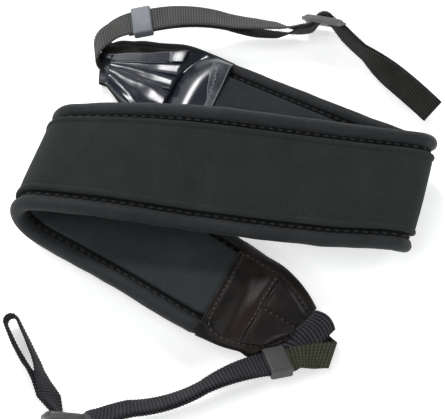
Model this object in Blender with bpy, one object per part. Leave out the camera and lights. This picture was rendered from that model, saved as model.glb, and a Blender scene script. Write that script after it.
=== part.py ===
"""Camera neck strap, lying folded in a Z on a floor.

Lengths in the tables are millimetres and angles degrees; the finished meshes are in metres.
Every long piece is a flat band that follows a line. A line is a table of rows. Each row has a
length, a bend about the band's width, a twist about its length, a steer about its face normal,
and the skew of its creases. +Z is up, the floor is z = 0, the middle run of the pad is on top.
"""
from collections import namedtuple
import bmesh
import bpy
import numpy as np

# ---------------------------------------------------------------- driving dimensions (mm)
PAD_WIDTH = 55.0
RIM_RADIUS = 3.4
CORE_HALF = 1.95
PANEL_HALF_WIDTH = 18.9
PANEL_BOTTOM = 2.25
PANEL_TOP = 3.25
LINING_HALF_WIDTH = 18.5
TIP_WALL = 1.2
TIP_MOUTH_HALF = 3.9
TIP_NOSE_HALF = 2.75
TIP_MOUTH_WIDTH = 27.8
STRAP_WIDTH = 12.0
STRAP_THICK = 1.1
LAYER = 0.675
KEEPER_LENGTH = 9.4
KEEPER_WALL = 1.1
KEEPER_INNER = (6.3, 1.53)
GLIDE_LENGTH = 22.0
GLIDE_WIDTH = 19.0
GLIDE_THICK = 1.6
GLIDE_CORNER = 6.0
GLIDE_BAR_HALF = 1.0
GLIDE_SLOT_END = 7.3
GLIDE_SLOT_HALF = 6.6
FOOT = (5.81, -0.748, -1.314)

Row = namedtuple("Row", "length bend twist steer skew ease steps")
Start = namedtuple("Start", "x y z azimuth tilt pitch")

# The pad: the middle of the top run, then outwards to each end.
PAD_START = Start(-7.69, 3.72, 32.21, -5.98, 18.4, -3.18)
PAD_SKEW = 9.91
PAD_LOWER = [
    Row(59.77, 14.09, 18.05, 0.0, 9.91, 0.0, 14),
    Row(38.26, 166.08, 11.14, 0.0, 9.91, 0.3, 22),
    Row(81.99, 2.27, -16.75, 0.0, 2.97, 0.0, 16),
    Row(18.67, -11.45, 9.86, 10.9, -12.5, 0.0, 8),
    Row(18.67, 1.97, 9.86, 10.9, -27.95, 0.0, 8),
]
PAD_UPPER = [
    Row(83.43, 6.48, -4.08, 0.0, 9.91, 0.0, 14),
    Row(27.28, 159.16, 3.24, 0.0, 9.91, 0.3, 22),
    Row(95.82, 2.97, 15.55, 0.0, 2.97, 0.0, 16),
    Row(27.1, 4.38, -4.0, -3.75, 9.6, 0.0, 8),
    Row(27.1, -4.88, -4.0, -3.75, 16.3, 0.0, 8),
]
# Half widths of a tip on its far and near side, at fractions of its length.
TipWidth = namedtuple("TipWidth", "at far near")
LOWER_TIP = [
    TipWidth(0.0, 27.8, 27.8),
    TipWidth(0.2, 25.8, 25.9),
    TipWidth(0.4, 24.3, 24.1),
    TipWidth(0.6, 20.7, 21.6),
    TipWidth(0.8, 15.6, 18.8),
    TipWidth(1.0, 9.5, 7.0),
]
UPPER_TIP = [
    TipWidth(0.0, 27.8, 27.8),
    TipWidth(0.2, 27.5, 27.0),
    TipWidth(0.4, 26.3, 25.3),
    TipWidth(0.6, 21.6, 21.8),
    TipWidth(0.8, 17.6, 16.7),
    TipWidth(1.0, 9.4, 9.4),
]
# The webbing from the nose of a tip, round its fold, to the keeper.
LOWER_FOLD = [
    Row(12.83, 14.0, 1.66, -1.82, -24.26, 0.0, 8),
    Row(13.41, -189.39, 1.71, 0.0, -24.26, 0.25, 16),
    Row(13.85, 6.12, 34.22, -10.14, 0.0, 0.0, 12),
    Row(5.0, 0.0, 0.0, 0.0, 0.0, 0.0, 2),
]
UPPER_FOLD = [
    Row(4.09, -25.37, 19.05, -23.06, -32.37, 0.0, 8),
    Row(17.82, -147.28, 0.42, 0.0, -32.37, 0.25, 16),
    Row(15.3, 10.91, 13.04, 33.06, 0.0, 0.0, 12),
    Row(5.0, 0.0, 0.0, 0.0, 0.0, 0.0, 2),
]
# The pair of layers from the keeper to the slider, then the tail beyond it.
LOWER_KEEPER = Start(22.8, -76.0, 8.4, 197.5, 26.4, 8.6)
LOWER_RUN = [
    Row(5.0, 0.0, 0.0, 0.0, 0.0, 0.0, 2),
    Row(27.5, 21.5, 28.3, 1.9, 0.0, 0.0, 10),
    Row(32.3, -28.4, -6.1, -3.8, 0.0, 0.0, 10),
    Row(13.5, 8.3, 39.4, -8.6, 0.0, 0.0, 10),
    Row(3.5, 0.0, 0.0, 0.0, 0.0, 0.0, 2),
]
LOWER_TAIL = [
    Row(12.6, 7.2, -3.6, -0.1, 0.0, 0.0, 10),
    Row(34.9, -5.8, 14.1, 0.3, 0.0, 0.0, 10),
]
LOWER_TURN = 74.0
UPPER_KEEPER = Start(-38.8, 95.1, 13.7, 7.5, 3.7, 8.5)
UPPER_RUN = [
    Row(5.0, 0.0, 0.0, 0.0, 0.0, 0.0, 2),
    Row(37.3, 27.7, -24.7, -8.2, 0.0, 0.0, 10),
    Row(24.9, -15.1, -19.1, -5.3, 0.0, 0.0, 10),
    Row(11.2, -9.8, -27.8, -3.6, 0.0, 0.0, 10),
    Row(3.5, 0.0, 0.0, 0.0, 0.0, 0.0, 2),
]
UPPER_TAIL = [
    Row(19.6, -1.5, 23.8, -4.9, 0.0, 0.0, 10),
    Row(45.7, -5.8, 68.1, -2.2, 0.0, 0.0, 10),
]
UPPER_TURN = 52.0
LOWER_FREE = [
    Row(5.0, 0.0, 0.0, 0.0, 0.0, 0.0, 2),
    Row(8.0, -5.0, 26.0, 24.0, 0.0, 0.0, 6),
    Row(11.9, -9.1, 8.0, 36.0, 0.0, 0.0, 7),
    Row(7.4, -7.0, -1.2, -12.8, 0.0, 0.0, 5),
]
UPPER_FREE = [
    Row(8.0, 0.0, 0.0, 0.0, 0.0, 0.0, 2),
]
# Half the distance between the two layers, along the run and the tail.
Part = namedtuple("Part", "at half")
LOWER_SPREAD = [
    Part(0.0, 0.675),
    Part(8.0, 0.675),
    Part(14.0, 0.78),
    Part(74.0, 0.78),
    Part(79.0, 0.675),
    Part(94.7, 0.675),
    Part(121.0, 2.85),
    Part(135.0, 2.85),
    Part(147.0, 2.05),
]
UPPER_SPREAD = [
    Part(0.0, 0.675),
    Part(5.0, 0.675),
    Part(12.0, 0.85),
    Part(42.0, 0.85),
    Part(56.0, 2.3),
    Part(66.0, 2.3),
    Part(78.0, 0.675),
    Part(98.0, 0.675),
    Part(112.0, 1.25),
    Part(165.0, 1.25),
]
RISE = 45.0
RISE_LENGTH = 3.0
RAMP_LENGTH = 4.0
ARCH_RADIUS = 3.4
GLIDE_OFFSET = 2.5

LOOKS = {
    "pad_body": ((0.045, 0.045, 0.05), 0.85),
    "outer_panel": ((0.028, 0.03, 0.032), 0.8),
    "inner_lining": ((0.028, 0.034, 0.045), 0.9),
    "lower_tip": ((0.022, 0.016, 0.014), 0.5),
    "lower_tip_overlay": ((0.022, 0.015, 0.013), 0.45),
    "upper_tip": ((0.022, 0.024, 0.032), 0.3),
    "upper_tip_gather": ((0.022, 0.024, 0.032), 0.28),
    "lower_webbing": ((0.03, 0.03, 0.036), 0.85),
    "upper_webbing": ((0.09, 0.088, 0.082), 0.85),
    "lower_keeper": ((0.08, 0.08, 0.08), 0.5),
    "upper_keeper": ((0.26, 0.26, 0.28), 0.45),
    "lower_triglide": ((0.03, 0.03, 0.03), 0.4),
    "upper_triglide": ((0.2, 0.2, 0.2), 0.4),
}


# ---------------------------------------------------------------- lines
def rotation(vector):
    """Rotation matrix for a rotation vector in radians."""
    angle = np.linalg.norm(vector)
    if angle < 1e-12:
        return np.eye(3)
    x, y, z = vector / angle
    cross = np.array([[0, -z, y], [z, 0, -x], [-y, x, 0]])
    return np.eye(3) + np.sin(angle) * cross + (1 - np.cos(angle)) * cross @ cross


def start_frame(start):
    """Columns are the tangent, the width and the face normal."""
    turn = np.radians(start.azimuth)
    tangent = np.array([np.cos(turn), np.sin(turn), 0.0])
    normal = np.array([0.0, 0.0, 1.0])
    width = np.cross(normal, tangent)
    frame = np.stack([tangent, width, normal], 1)
    frame = rotation(width * np.radians(-start.pitch)) @ frame
    return rotation(tangent * np.radians(start.tilt)) @ frame


def pad_frame(start):
    """Yaw, then pitch, then roll."""
    yaw = rotation(np.array([0, 0, 1]) * np.radians(start.azimuth))
    pitch = rotation(np.array([0, 1, 0]) * np.radians(-start.pitch))
    return yaw @ pitch @ rotation(np.array([1, 0, 0]) * np.radians(start.tilt))


def shares(steps, ease):
    """How a row's bend is shared over its steps."""
    t = (np.arange(steps) + 0.5) / steps
    if not ease:
        return np.ones(steps) / steps
    w = np.minimum(1, np.minimum(t, 1 - t) / ease)
    w = w * w * (3 - 2 * w)
    return w / w.sum()


class Line:
    """Stations of a band: place, frame, skew and distance."""

    def __init__(self, place, frame, skew, dist):
        self.place = np.array(place)
        self.frame = np.array(frame)
        self.skew = np.array(skew)
        self.dist = np.array(dist)

    def at(self, dist):
        """The station at a distance along the line."""
        i = int(np.clip(np.searchsorted(self.dist, dist) - 1, 0, len(self.dist) - 2))
        t = (dist - self.dist[i]) / (self.dist[i + 1] - self.dist[i])
        place = self.place[i] * (1 - t) + self.place[i + 1] * t
        mixed = self.frame[i] * (1 - t) + self.frame[i + 1] * t
        tangent = mixed[:, 0] / np.linalg.norm(mixed[:, 0])
        normal = mixed[:, 2] - tangent * (mixed[:, 2] @ tangent)
        normal = normal / np.linalg.norm(normal)
        frame = np.stack([tangent, np.cross(normal, tangent), normal], 1)
        return place, frame, self.skew[i] * (1 - t) + self.skew[i + 1] * t


def follow(place, frame, rows, skew, way=1):
    """Walk along a table of rows, forwards or backwards."""
    line = ([np.array(place, float)], [frame], [skew], [0.0])
    for row in rows:
        share = shares(row.steps, row.ease)
        step = row.length / row.steps
        first = line[2][-1]
        for i in range(row.steps):
            now = np.radians(first + (row.skew - first) * (i + 0.5) / row.steps)
            tangent, width, normal = line[1][-1].T
            crease = width * np.cos(now) + tangent * np.sin(now)
            spin = crease * np.radians(row.bend) * share[i]
            spin = spin + tangent * np.radians(row.twist) / row.steps
            spin = spin + normal * np.radians(row.steer) / row.steps
            turned = rotation(spin * way) @ line[1][-1]
            middle = (tangent + turned[:, 0]) / 2
            line[0].append(line[0][-1] + way * step * middle)
            line[1].append(turned)
            line[2].append(first + (row.skew - first) * (i + 1) / row.steps)
            line[3].append(line[3][-1] + way * step)
    return Line(*line)


def joined(first, second):
    """One line from a backward and a forward line that share their start."""
    parts = []
    for name in ("place", "frame", "skew", "dist"):
        back = getattr(first, name)[::-1]
        parts.append(np.concatenate([back, getattr(second, name)[1:]]))
    return Line(*parts)


def smooth(at, xs, ys):
    """A soft curve through a table of values."""
    xs = np.array(xs, float)
    ys = np.array(ys, float)
    slope = np.gradient(ys, xs)
    i = int(np.clip(np.searchsorted(xs, at) - 1, 0, len(xs) - 2))
    h = xs[i + 1] - xs[i]
    t = (at - xs[i]) / h
    a = ys[i] * (1 + 2 * t) * (1 - t) ** 2 + ys[i + 1] * t * t * (3 - 2 * t)
    return a + h * (slope[i] * t * (1 - t) ** 2 - slope[i + 1] * t * t * (1 - t))


# ---------------------------------------------------------------- meshes
def make(name, points, faces, sharp=35.0):
    """A mesh object in metres with its own material."""
    mesh = bpy.data.meshes.new(name)
    shifted = (np.array(points) - np.array(FOOT)) * 0.001
    mesh.from_pydata([tuple(p) for p in shifted], [], faces)
    work = bmesh.new()
    work.from_mesh(mesh)
    bmesh.ops.recalc_face_normals(work, faces=work.faces[:])
    work.to_mesh(mesh)
    work.free()
    for face in mesh.polygons:
        face.use_smooth = True
    mesh.set_sharp_from_angle(angle=np.radians(sharp))
    colour, rough = LOOKS[name]
    material = bpy.data.materials.new(name)
    material.use_nodes = True
    shader = material.node_tree.nodes["Principled BSDF"]
    shader.inputs["Base Color"].default_value = (*colour, 1.0)
    shader.inputs["Roughness"].default_value = rough
    mesh.materials.append(material)
    thing = bpy.data.objects.new(name, mesh)
    bpy.context.scene.collection.objects.link(thing)
    return thing


def ring_points(station, loop):
    """A cross-section loop of (v, w) points, placed at a station."""
    place, frame, skew = station
    loop = np.array(loop)
    across = frame[:, 1] + frame[:, 0] * np.tan(np.radians(skew))
    return place + loop[:, :1] * across + loop[:, 1:] * frame[:, 2]


def side_faces(first, second, count):
    """Quads between two loops of the same count."""
    faces = []
    for j in range(count):
        k = (j + 1) % count
        faces.append((first + j, first + k, second + k, second + j))
    return faces


def sweep(name, stations, loops, sharp=35.0):
    """A solid band through the stations, closed at both ends."""
    count = len(loops[0])
    points = []
    faces = []
    for station, loop in zip(stations, loops):
        points.extend(ring_points(station, loop))
    for i in range(len(stations) - 1):
        faces += side_faces(i * count, (i + 1) * count, count)
    last = (len(stations) - 1) * count
    faces.append(tuple(range(count)))
    faces.append(tuple(range(last, last + count)))
    return make(name, points, faces, sharp)


def sleeve(name, stations, outers, inners):
    """A hollow band, open at both ends."""
    count = len(outers[0])
    points = []
    faces = []
    for station, outer, inner in zip(stations, outers, inners):
        points.extend(ring_points(station, outer))
        points.extend(ring_points(station, inner))
    for i in range(len(stations) - 1):
        a = i * count * 2
        b = a + count * 2
        faces += side_faces(a, b, count)
        faces += side_faces(a + count, b + count, count)
    last = (len(stations) - 1) * count * 2
    faces += side_faces(0, count, count)
    faces += side_faces(last, last + count, count)
    return make(name, points, faces)


def rim_section(half):
    """The padded band: a thin core between two round rims."""
    centre = half - RIM_RADIUS
    rim = np.radians(np.linspace(130, -130, 9))
    far = [(centre + RIM_RADIUS * np.cos(a), RIM_RADIUS * np.sin(a)) for a in rim]
    near = [(-v, w) for v, w in far[::-1]]
    flat = centre - 4.4
    return far + [(flat, -CORE_HALF), (-flat, -CORE_HALF)] + near + [(-flat, CORE_HALF), (flat, CORE_HALF)]


LENS = (0.75, 0.87, 0.94, 0.985, 1.0)


def lens_height(fraction):
    """Height of a tip's section at a fraction of its half width."""
    return np.sqrt(max(0.0, 1 - abs(fraction) ** 4))


def lens_section(far, near, half):
    """A flat oval section with the same number of points as the rim section."""
    top = [(f * far, lens_height(f) * half) for f in LENS]
    under = [(v, -w) for v, w in top[-2::-1]]
    edge_near = [(-f * near, -lens_height(f) * half) for f in LENS]
    back = [(v, -w) for v, w in edge_near[-2::-1]]
    w = lens_height(0.4) * half
    floor = [(0.4 * far, -w), (-0.4 * near, -w)]
    roof = [(-0.4 * near, w), (0.4 * far, w)]
    return top + under + floor + edge_near + back + roof


def panel_section():
    """The raised panel with its fold-over lip."""
    h = PANEL_HALF_WIDTH
    side = [(h, PANEL_BOTTOM), (h, 2.95), (h - 0.5, 3.4), (h - 2.9, 3.45), (h - 3.5, 3.15)]
    return side + [(0.0, PANEL_TOP)] + [(-v, w) for v, w in side[::-1]]


def lining_section():
    """The flat lining on the other face."""
    h = LINING_HALF_WIDTH
    return [(h, -2.25), (-h, -2.25), (-h, -2.85), (-h + 0.7, -3.25), (h - 0.7, -3.25), (h, -2.85)]


# ---------------------------------------------------------------- the pad and its tips
PAD = joined(
    follow(PAD_START[:3], pad_frame(PAD_START), PAD_LOWER, PAD_SKEW, -1),
    follow(PAD_START[:3], pad_frame(PAD_START), PAD_UPPER, PAD_SKEW, 1),
)
LOWER_MOUTH = -sum(row.length for row in PAD_LOWER[:3])
UPPER_MOUTH = sum(row.length for row in PAD_UPPER[:3])
LOWER_LENGTH = sum(row.length for row in PAD_LOWER[3:])
UPPER_LENGTH = sum(row.length for row in PAD_UPPER[3:])


def spaced(first, last, steps):
    """Evenly spaced distances, with the first but without the last."""
    return [first + (last - first) * i / steps for i in range(steps)]


def pad_distances(first, last):
    """Distances along the pad, closer together round its folds."""
    bend_a = -PAD_LOWER[0].length
    bend_b = bend_a - PAD_LOWER[1].length
    bend_c = PAD_UPPER[0].length
    bend_d = bend_c + PAD_UPPER[1].length
    found = spaced(first, bend_b, 8) + spaced(bend_b, bend_a, 15) + spaced(bend_a, bend_c, 14)
    return found + spaced(bend_c, bend_d, 15) + spaced(bend_d, last, 8) + [last]


def tip_loop(table, at, inset=0.0, rise=0.0):
    """Section of a tip at a fraction of its length, set in by a wall."""
    far = smooth(at, [row.at for row in table], [row.far for row in table])
    near = smooth(at, [row.at for row in table], [row.near for row in table])
    half = TIP_MOUTH_HALF + (TIP_NOSE_HALF - TIP_MOUTH_HALF) * at
    return lens_section(far - inset, near - inset, half - rise)


def tip_station(end, at):
    """Station at a fraction of a tip's length."""
    if end == "lower":
        return PAD.at(LOWER_MOUTH - at * LOWER_LENGTH)
    return PAD.at(UPPER_MOUTH + at * UPPER_LENGTH)


def build_pad():
    """The padded band, its panel and its lining."""
    stations = []
    loops = []
    for at in (0.44, 0.3, 0.15, 0.04):
        stations.append(tip_station("lower", at))
        loops.append(tip_loop(LOWER_TIP, at, 1.65, 2.05))
    stations.append(PAD.at(LOWER_MOUTH + 0.4))
    loops.append(tip_loop(LOWER_TIP, 0.0, 1.65, 2.05))
    for dist in pad_distances(LOWER_MOUTH + 1.7, UPPER_MOUTH - 1.7):
        stations.append(PAD.at(dist))
        loops.append(rim_section(PAD_WIDTH / 2))
    stations.append(PAD.at(UPPER_MOUTH - 0.4))
    loops.append(tip_loop(UPPER_TIP, 0.0, 1.65, 2.05))
    for at in (0.04, 0.15, 0.3, 0.44):
        stations.append(tip_station("upper", at))
        loops.append(tip_loop(UPPER_TIP, at, 1.65, 2.05))
    sweep("pad_body", stations, loops, 60.0)
    stations = [PAD.at(d) for d in pad_distances(LOWER_MOUTH + 0.5, UPPER_MOUTH - 0.5)]
    sweep("outer_panel", stations, [panel_section()] * len(stations))
    sweep("inner_lining", stations, [lining_section()] * len(stations))


def build_tip(end, table):
    """The hollow sleeve at one end of the pad."""
    fractions = [i / 9 for i in range(10)]
    stations = [tip_station(end, at) for at in fractions]
    outers = [tip_loop(table, at) for at in fractions]
    inners = [tip_loop(table, at, 1.3, TIP_WALL) for at in fractions]
    sleeve(end + "_tip", stations, outers, inners)


def layer_section(table, at, reach, lift, wall, waves=0, height=0.0):
    """A second layer lying on the upper face of a tip, with pleats if it has waves."""
    far = smooth(at, [row.at for row in table], [row.far for row in table])
    near = smooth(at, [row.at for row in table], [row.near for row in table])
    half = TIP_MOUTH_HALF + (TIP_NOSE_HALF - TIP_MOUTH_HALF) * at
    steps = 4 * waves if waves else 8
    spots = [reach * (1 - 2 * i / steps) for i in range(steps + 1)]
    under = []
    over = []
    for i, f in enumerate(spots):
        v = f * (far if f > 0 else near)
        base = lens_height(f) * half + lift
        fold = height * (1 - np.cos(2 * np.pi * waves * i / steps)) / 2
        under.append((v, -base - fold))
        over.append((v, -base - fold - wall))
    return under + over[::-1]


def build_layers():
    """The overlay on the lower tip and the gathered layer on the upper tip."""
    fractions = [0.47 + 0.49 * i / 7 for i in range(8)]
    loops = [layer_section(LOWER_TIP, at, 0.85, 0.4, 1.0) for at in fractions]
    sweep("lower_tip_overlay", [tip_station("lower", at) for at in fractions], loops)
    fractions = [0.4 + 0.56 * i / 8 for i in range(9)]
    loops = []
    for at in fractions:
        height = np.interp(at, [0.4, 0.5, 0.75, 0.96], [0.7, 1.8, 1.5, 0.7])
        loops.append(layer_section(UPPER_TIP, at, 0.9, 0.35, 1.1, 5, height))
    sweep("upper_tip_gather", [tip_station("upper", at) for at in fractions], loops, 50.0)


# ---------------------------------------------------------------- webbing, keepers and sliders
def weave(way, turn):
    """Rows that lift the pair of layers over a slider's bar and down again."""
    arc = ARCH_RADIUS * np.radians(RISE + turn)
    return [
        Row(RISE_LENGTH, way * RISE, 0.0, 0.0, 0.0, 0.0, 4),
        Row(RAMP_LENGTH, 0.0, 0.0, 0.0, 0.0, 0.0, 3),
        Row(arc, -way * (RISE + turn), 0.0, 0.0, 0.0, 0.0, 8),
        Row(3.0, 0.0, 0.0, 0.0, 0.0, 0.0, 3),
    ]


def nose_frame(end, table):
    """Middle of a tip's nose, and the frame of the webbing leaving it."""
    station = tip_station(end, 1.0)
    ends = ring_points(station, [(table[-1].far, 0.0), (-table[-1].near, 0.0)])
    line = (ends[0] - ends[1]) / np.linalg.norm(ends[0] - ends[1])
    tangent = np.cross(line, (0.0, 0.0, 1.0))
    tangent = tangent / np.linalg.norm(tangent)
    if end == "upper":
        tangent = -tangent
    normal = np.cross(tangent, line)
    if normal[2] < 0:
        normal = -normal
    return station[0], np.stack([tangent, np.cross(normal, tangent), normal], 1)


def strap_distances(rows, first):
    """Distances along a table: one for each step, at most six to a plain row."""
    found = [first]
    for row in rows:
        winding = max(abs(row.bend), 2 * abs(row.steer), 2 * abs(row.twist))
        steps = row.steps if winding > 40 else min(row.steps, 5)
        for i in range(steps):
            found.append(found[-1] + row.length / steps)
    return found


def build_strap(end, table, fold, keeper, run, turn, way, tail, spread, free, arch):
    """One webbing strip: root, fold, run, tail loop, return and free end."""
    place, frame = nose_frame(end, table)
    nose = follow(place, frame, fold, 0.0)
    pair_frame = start_frame(keeper)
    pair = follow(keeper[:3], pair_frame, run + weave(way, turn) + tail, 0.0)
    flip = np.diag([1.0, -1.0, -1.0])
    inner = tip_station(end, 0.9)[1][:, 2]
    inner = inner if inner[2] > 0 else -inner
    level = frame[:, 0] - inner * (frame[:, 0] @ inner)
    level = level / np.linalg.norm(level)
    root = np.stack([level, np.cross(inner, level), inner], 1)
    stations = [(place - back * level, root, 0.0) for back in (7.0, 3.0)]
    curl_end = fold[0].length + fold[1].length
    straight = curl_end + fold[2].length
    miss = pair.place[0] - nose.place[-1]
    for dist in strap_distances(fold[:3], 0.0):
        spot, turned, skew = nose.at(dist)
        t = np.clip((dist - curl_end) / (straight - curl_end), 0, 1)
        lane = LAYER * t * t * (3 - 2 * t) + arch * 4 * t * (1 - t)
        stations.append((spot + miss * t - turned[:, 2] * lane, turned, skew))
    marks = strap_distances(run + weave(way, turn) + tail, 0.0)
    halves = np.interp(marks, [s.at for s in spread], [s.half for s in spread])
    for dist, half in zip(marks, halves):
        spot, turned, skew = pair.at(dist)
        stations.append((spot + turned[:, 2] * half, turned @ flip, 0.0))
    spot, turned, skew = pair.at(marks[-1])
    for i in range(1, 8):
        a = np.pi * i / 8
        out = np.cos(a) * turned[:, 2] + np.sin(a) * turned[:, 0]
        ahead = np.cross(-turned[:, 1], -out)
        looped = np.stack([ahead, -turned[:, 1], -out], 1)
        stations.append((spot + out * halves[-1], looped, 0.0))
    back = np.diag([-1.0, -1.0, 1.0])
    for dist, half in zip(marks[::-1], halves[::-1]):
        spot, turned, skew = pair.at(dist)
        stations.append((spot - turned[:, 2] * half, turned @ back, 0.0))
    loose_start = pair.place[0] - pair_frame[:, 2] * LAYER
    loose = follow(loose_start, pair_frame @ back, free, 0.0)
    for dist in strap_distances(free, 0.0)[1:]:
        stations.append(loose.at(min(dist, loose.dist[-1])))
    v = STRAP_WIDTH / 2
    w = STRAP_THICK / 2
    section = [(v, -w), (v, w), (-v, w), (-v, -w)]
    sweep(end + "_webbing", stations, [section] * len(stations), 50.0)
    build_keeper(end + "_keeper", pair.place[0], pair_frame)
    begin = sum(row.length for row in run)
    build_glide(end + "_triglide", pair.at(begin), way)


def build_keeper(name, place, frame):
    """A flat rectangular loop round both layers."""
    a, b = KEEPER_INNER
    c, d = a + KEEPER_WALL, b + KEEPER_WALL
    r = 0.8
    outer = [(c, d - r), (c - r, d), (r - c, d), (-c, d - r), (-c, r - d), (r - c, -d), (c - r, -d), (c, r - d)]
    q = 0.2
    inner = [(a, b - q), (a - q, b), (q - a, b), (-a, b - q), (-a, q - b), (q - a, -b), (a - q, -b), (a, q - b)]
    stations = []
    for shift in (-0.5, 0.5):
        stations.append((place + frame[:, 0] * KEEPER_LENGTH * shift, frame, 0.0))
    sleeve(name, stations, [outer, outer], [inner, inner])


def rounded(half_x, half_y, radius, steps):
    """Outline of a rectangle with round corners."""
    found = []
    for cx, cy, first in ((1, 1, 0), (-1, 1, 90), (-1, -1, 180), (1, -1, 270)):
        for i in range(steps + 1):
            a = np.radians(first + 90 * i / steps)
            x = cx * (half_x - radius) + radius * np.cos(a)
            y = cy * (half_y - radius) + radius * np.sin(a)
            found.append((x, y))
    return found


def build_glide(name, station, way):
    """A flat slider: a rounded plate with two slots beside a middle bar."""
    place, frame, skew = station
    lift = np.radians(RISE)
    reach = RISE_LENGTH / lift * np.sin(lift) + RAMP_LENGTH * np.cos(lift) + ARCH_RADIUS * np.sin(lift)
    centre = place + frame[:, 0] * reach - frame[:, 2] * way * GLIDE_OFFSET
    middle = (GLIDE_BAR_HALF + GLIDE_SLOT_END) / 2
    slot = (GLIDE_SLOT_END - GLIDE_BAR_HALF) / 2
    work = bmesh.new()
    caps = {-1: [], 1: []}
    edge = 0.35
    levels = ((-GLIDE_THICK / 2, edge), (edge - GLIDE_THICK / 2, 0.0), (GLIDE_THICK / 2 - edge, 0.0), (GLIDE_THICK / 2, edge))
    for kind, shift in (("outside", 0.0), ("slot", middle), ("slot", -middle)):
        rings = []
        for height, inset in levels:
            if kind == "outside":
                outline = rounded(GLIDE_LENGTH / 2 - inset, GLIDE_WIDTH / 2 - inset, GLIDE_CORNER - inset, 6)
            else:
                outline = rounded(slot + inset, GLIDE_SLOT_HALF + inset, 0.7 + inset, 2)
            ring = []
            for x, y in outline:
                p = centre + frame[:, 0] * (x + shift) + frame[:, 1] * y + frame[:, 2] * height
                ring.append(work.verts.new(tuple((p - np.array(FOOT)) * 0.001)))
            rings.append(ring)
        count = len(rings[0])
        for low, high in zip(rings[:-1], rings[1:]):
            for j in range(count):
                k = (j + 1) % count
                work.faces.new((low[j], low[k], high[k], high[j]))
        for ring, side in ((rings[0], -1), (rings[-1], 1)):
            for j in range(count):
                pair = (ring[j], ring[(j + 1) % count])
                caps[side].append(work.edges.get(pair))
    for side in (-1, 1):
        bmesh.ops.triangle_fill(work, use_beauty=True, use_dissolve=False, edges=caps[side])
    bmesh.ops.recalc_face_normals(work, faces=work.faces[:])
    mesh = bpy.data.meshes.new(name)
    work.to_mesh(mesh)
    points = [np.array(vert.co) * 1000 + np.array(FOOT) for vert in mesh.vertices]
    faces = [tuple(face.vertices) for face in mesh.polygons]
    work.free()
    bpy.data.meshes.remove(mesh)
    make(name, points, faces, 50.0)


def main():
    """Build the strap in an empty scene."""
    for thing in list(bpy.data.objects):
        bpy.data.objects.remove(thing, do_unlink=True)
    build_pad()
    build_tip("lower", LOWER_TIP)
    build_tip("upper", UPPER_TIP)
    build_layers()
    build_strap("lower", LOWER_TIP, LOWER_FOLD, LOWER_KEEPER, LOWER_RUN, LOWER_TURN, 1,
                LOWER_TAIL, LOWER_SPREAD, LOWER_FREE, 1.4)
    build_strap("upper", UPPER_TIP, UPPER_FOLD, UPPER_KEEPER, UPPER_RUN, UPPER_TURN, -1,
                UPPER_TAIL, UPPER_SPREAD, UPPER_FREE, 0.3)


main()
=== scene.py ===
from collections import namedtuple
import bmesh
import bpy
import numpy as np
from mathutils import Matrix, noise


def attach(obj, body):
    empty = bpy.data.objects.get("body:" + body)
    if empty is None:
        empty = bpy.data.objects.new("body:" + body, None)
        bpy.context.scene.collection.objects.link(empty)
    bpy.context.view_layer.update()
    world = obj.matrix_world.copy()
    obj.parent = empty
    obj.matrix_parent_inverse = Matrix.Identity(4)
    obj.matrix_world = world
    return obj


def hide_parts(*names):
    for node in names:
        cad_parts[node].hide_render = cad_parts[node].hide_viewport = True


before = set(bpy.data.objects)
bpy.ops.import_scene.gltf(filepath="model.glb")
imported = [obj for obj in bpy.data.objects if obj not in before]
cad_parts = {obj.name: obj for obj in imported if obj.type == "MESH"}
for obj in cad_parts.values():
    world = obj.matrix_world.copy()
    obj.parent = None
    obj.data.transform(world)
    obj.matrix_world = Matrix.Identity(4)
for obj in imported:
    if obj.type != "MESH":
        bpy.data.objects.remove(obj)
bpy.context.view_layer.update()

# The frame's origin in the tables' millimetres, and the fine steps in each step of a row.
FOOT = np.array((5.81, -0.748, -1.314))
FINE = 6

Row = namedtuple("Row", "length steps bend twist steer skew ease", defaults=(0.0,) * 5)
Start = namedtuple("Start", "x y z azimuth tilt pitch")
Give = namedtuple("Give", "dist far near")
Width = namedtuple("Width", "at far near")
Flare = namedtuple("Flare", "start reach far near")
Tip = namedtuple("Tip", "mouth length way widths flares")
Valley = namedtuple("Valley", "mouth nose")
Pleat = namedtuple("Pleat", "size blunt")
Spread = namedtuple("Spread", "at half")
Bulge = namedtuple("Bulge", "at reach shift tilt")
Strap = namedtuple("Strap", "end fold arch roll keeper run way turn tail spread free bow pitch backs bulges")

# ---------------------------------------------------------------- tables of the pad and its tips
PAD_START = Start(-7.69, 3.72, 32.21, -5.98, 18.4, -3.18)
PAD_SKEW = 9.91
PAD_LOWER = [
    Row(59.77, 14, 14.09, 18.05, 0.0, 9.91),
    Row(38.26, 22, 166.08, 11.14, 0.0, 9.91, 0.3),
    Row(81.99, 16, 2.27, -16.75, 0.0, 2.97),
    Row(18.67, 8, -11.45, 9.86, 10.9, -12.5),
    Row(18.67, 8, 1.97, 9.86, 10.9, -27.95),
]
PAD_UPPER = [
    Row(83.43, 14, 6.48, -4.08, 0.0, 9.91),
    Row(27.28, 22, 159.16, 3.24, 0.0, 9.91, 0.3),
    Row(95.82, 16, 2.97, 15.55, 0.0, 2.97),
    Row(27.1, 8, 4.38, -4.0, -3.75, 9.6),
    Row(27.1, 8, -4.88, -4.0, -3.75, 16.3),
]
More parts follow.
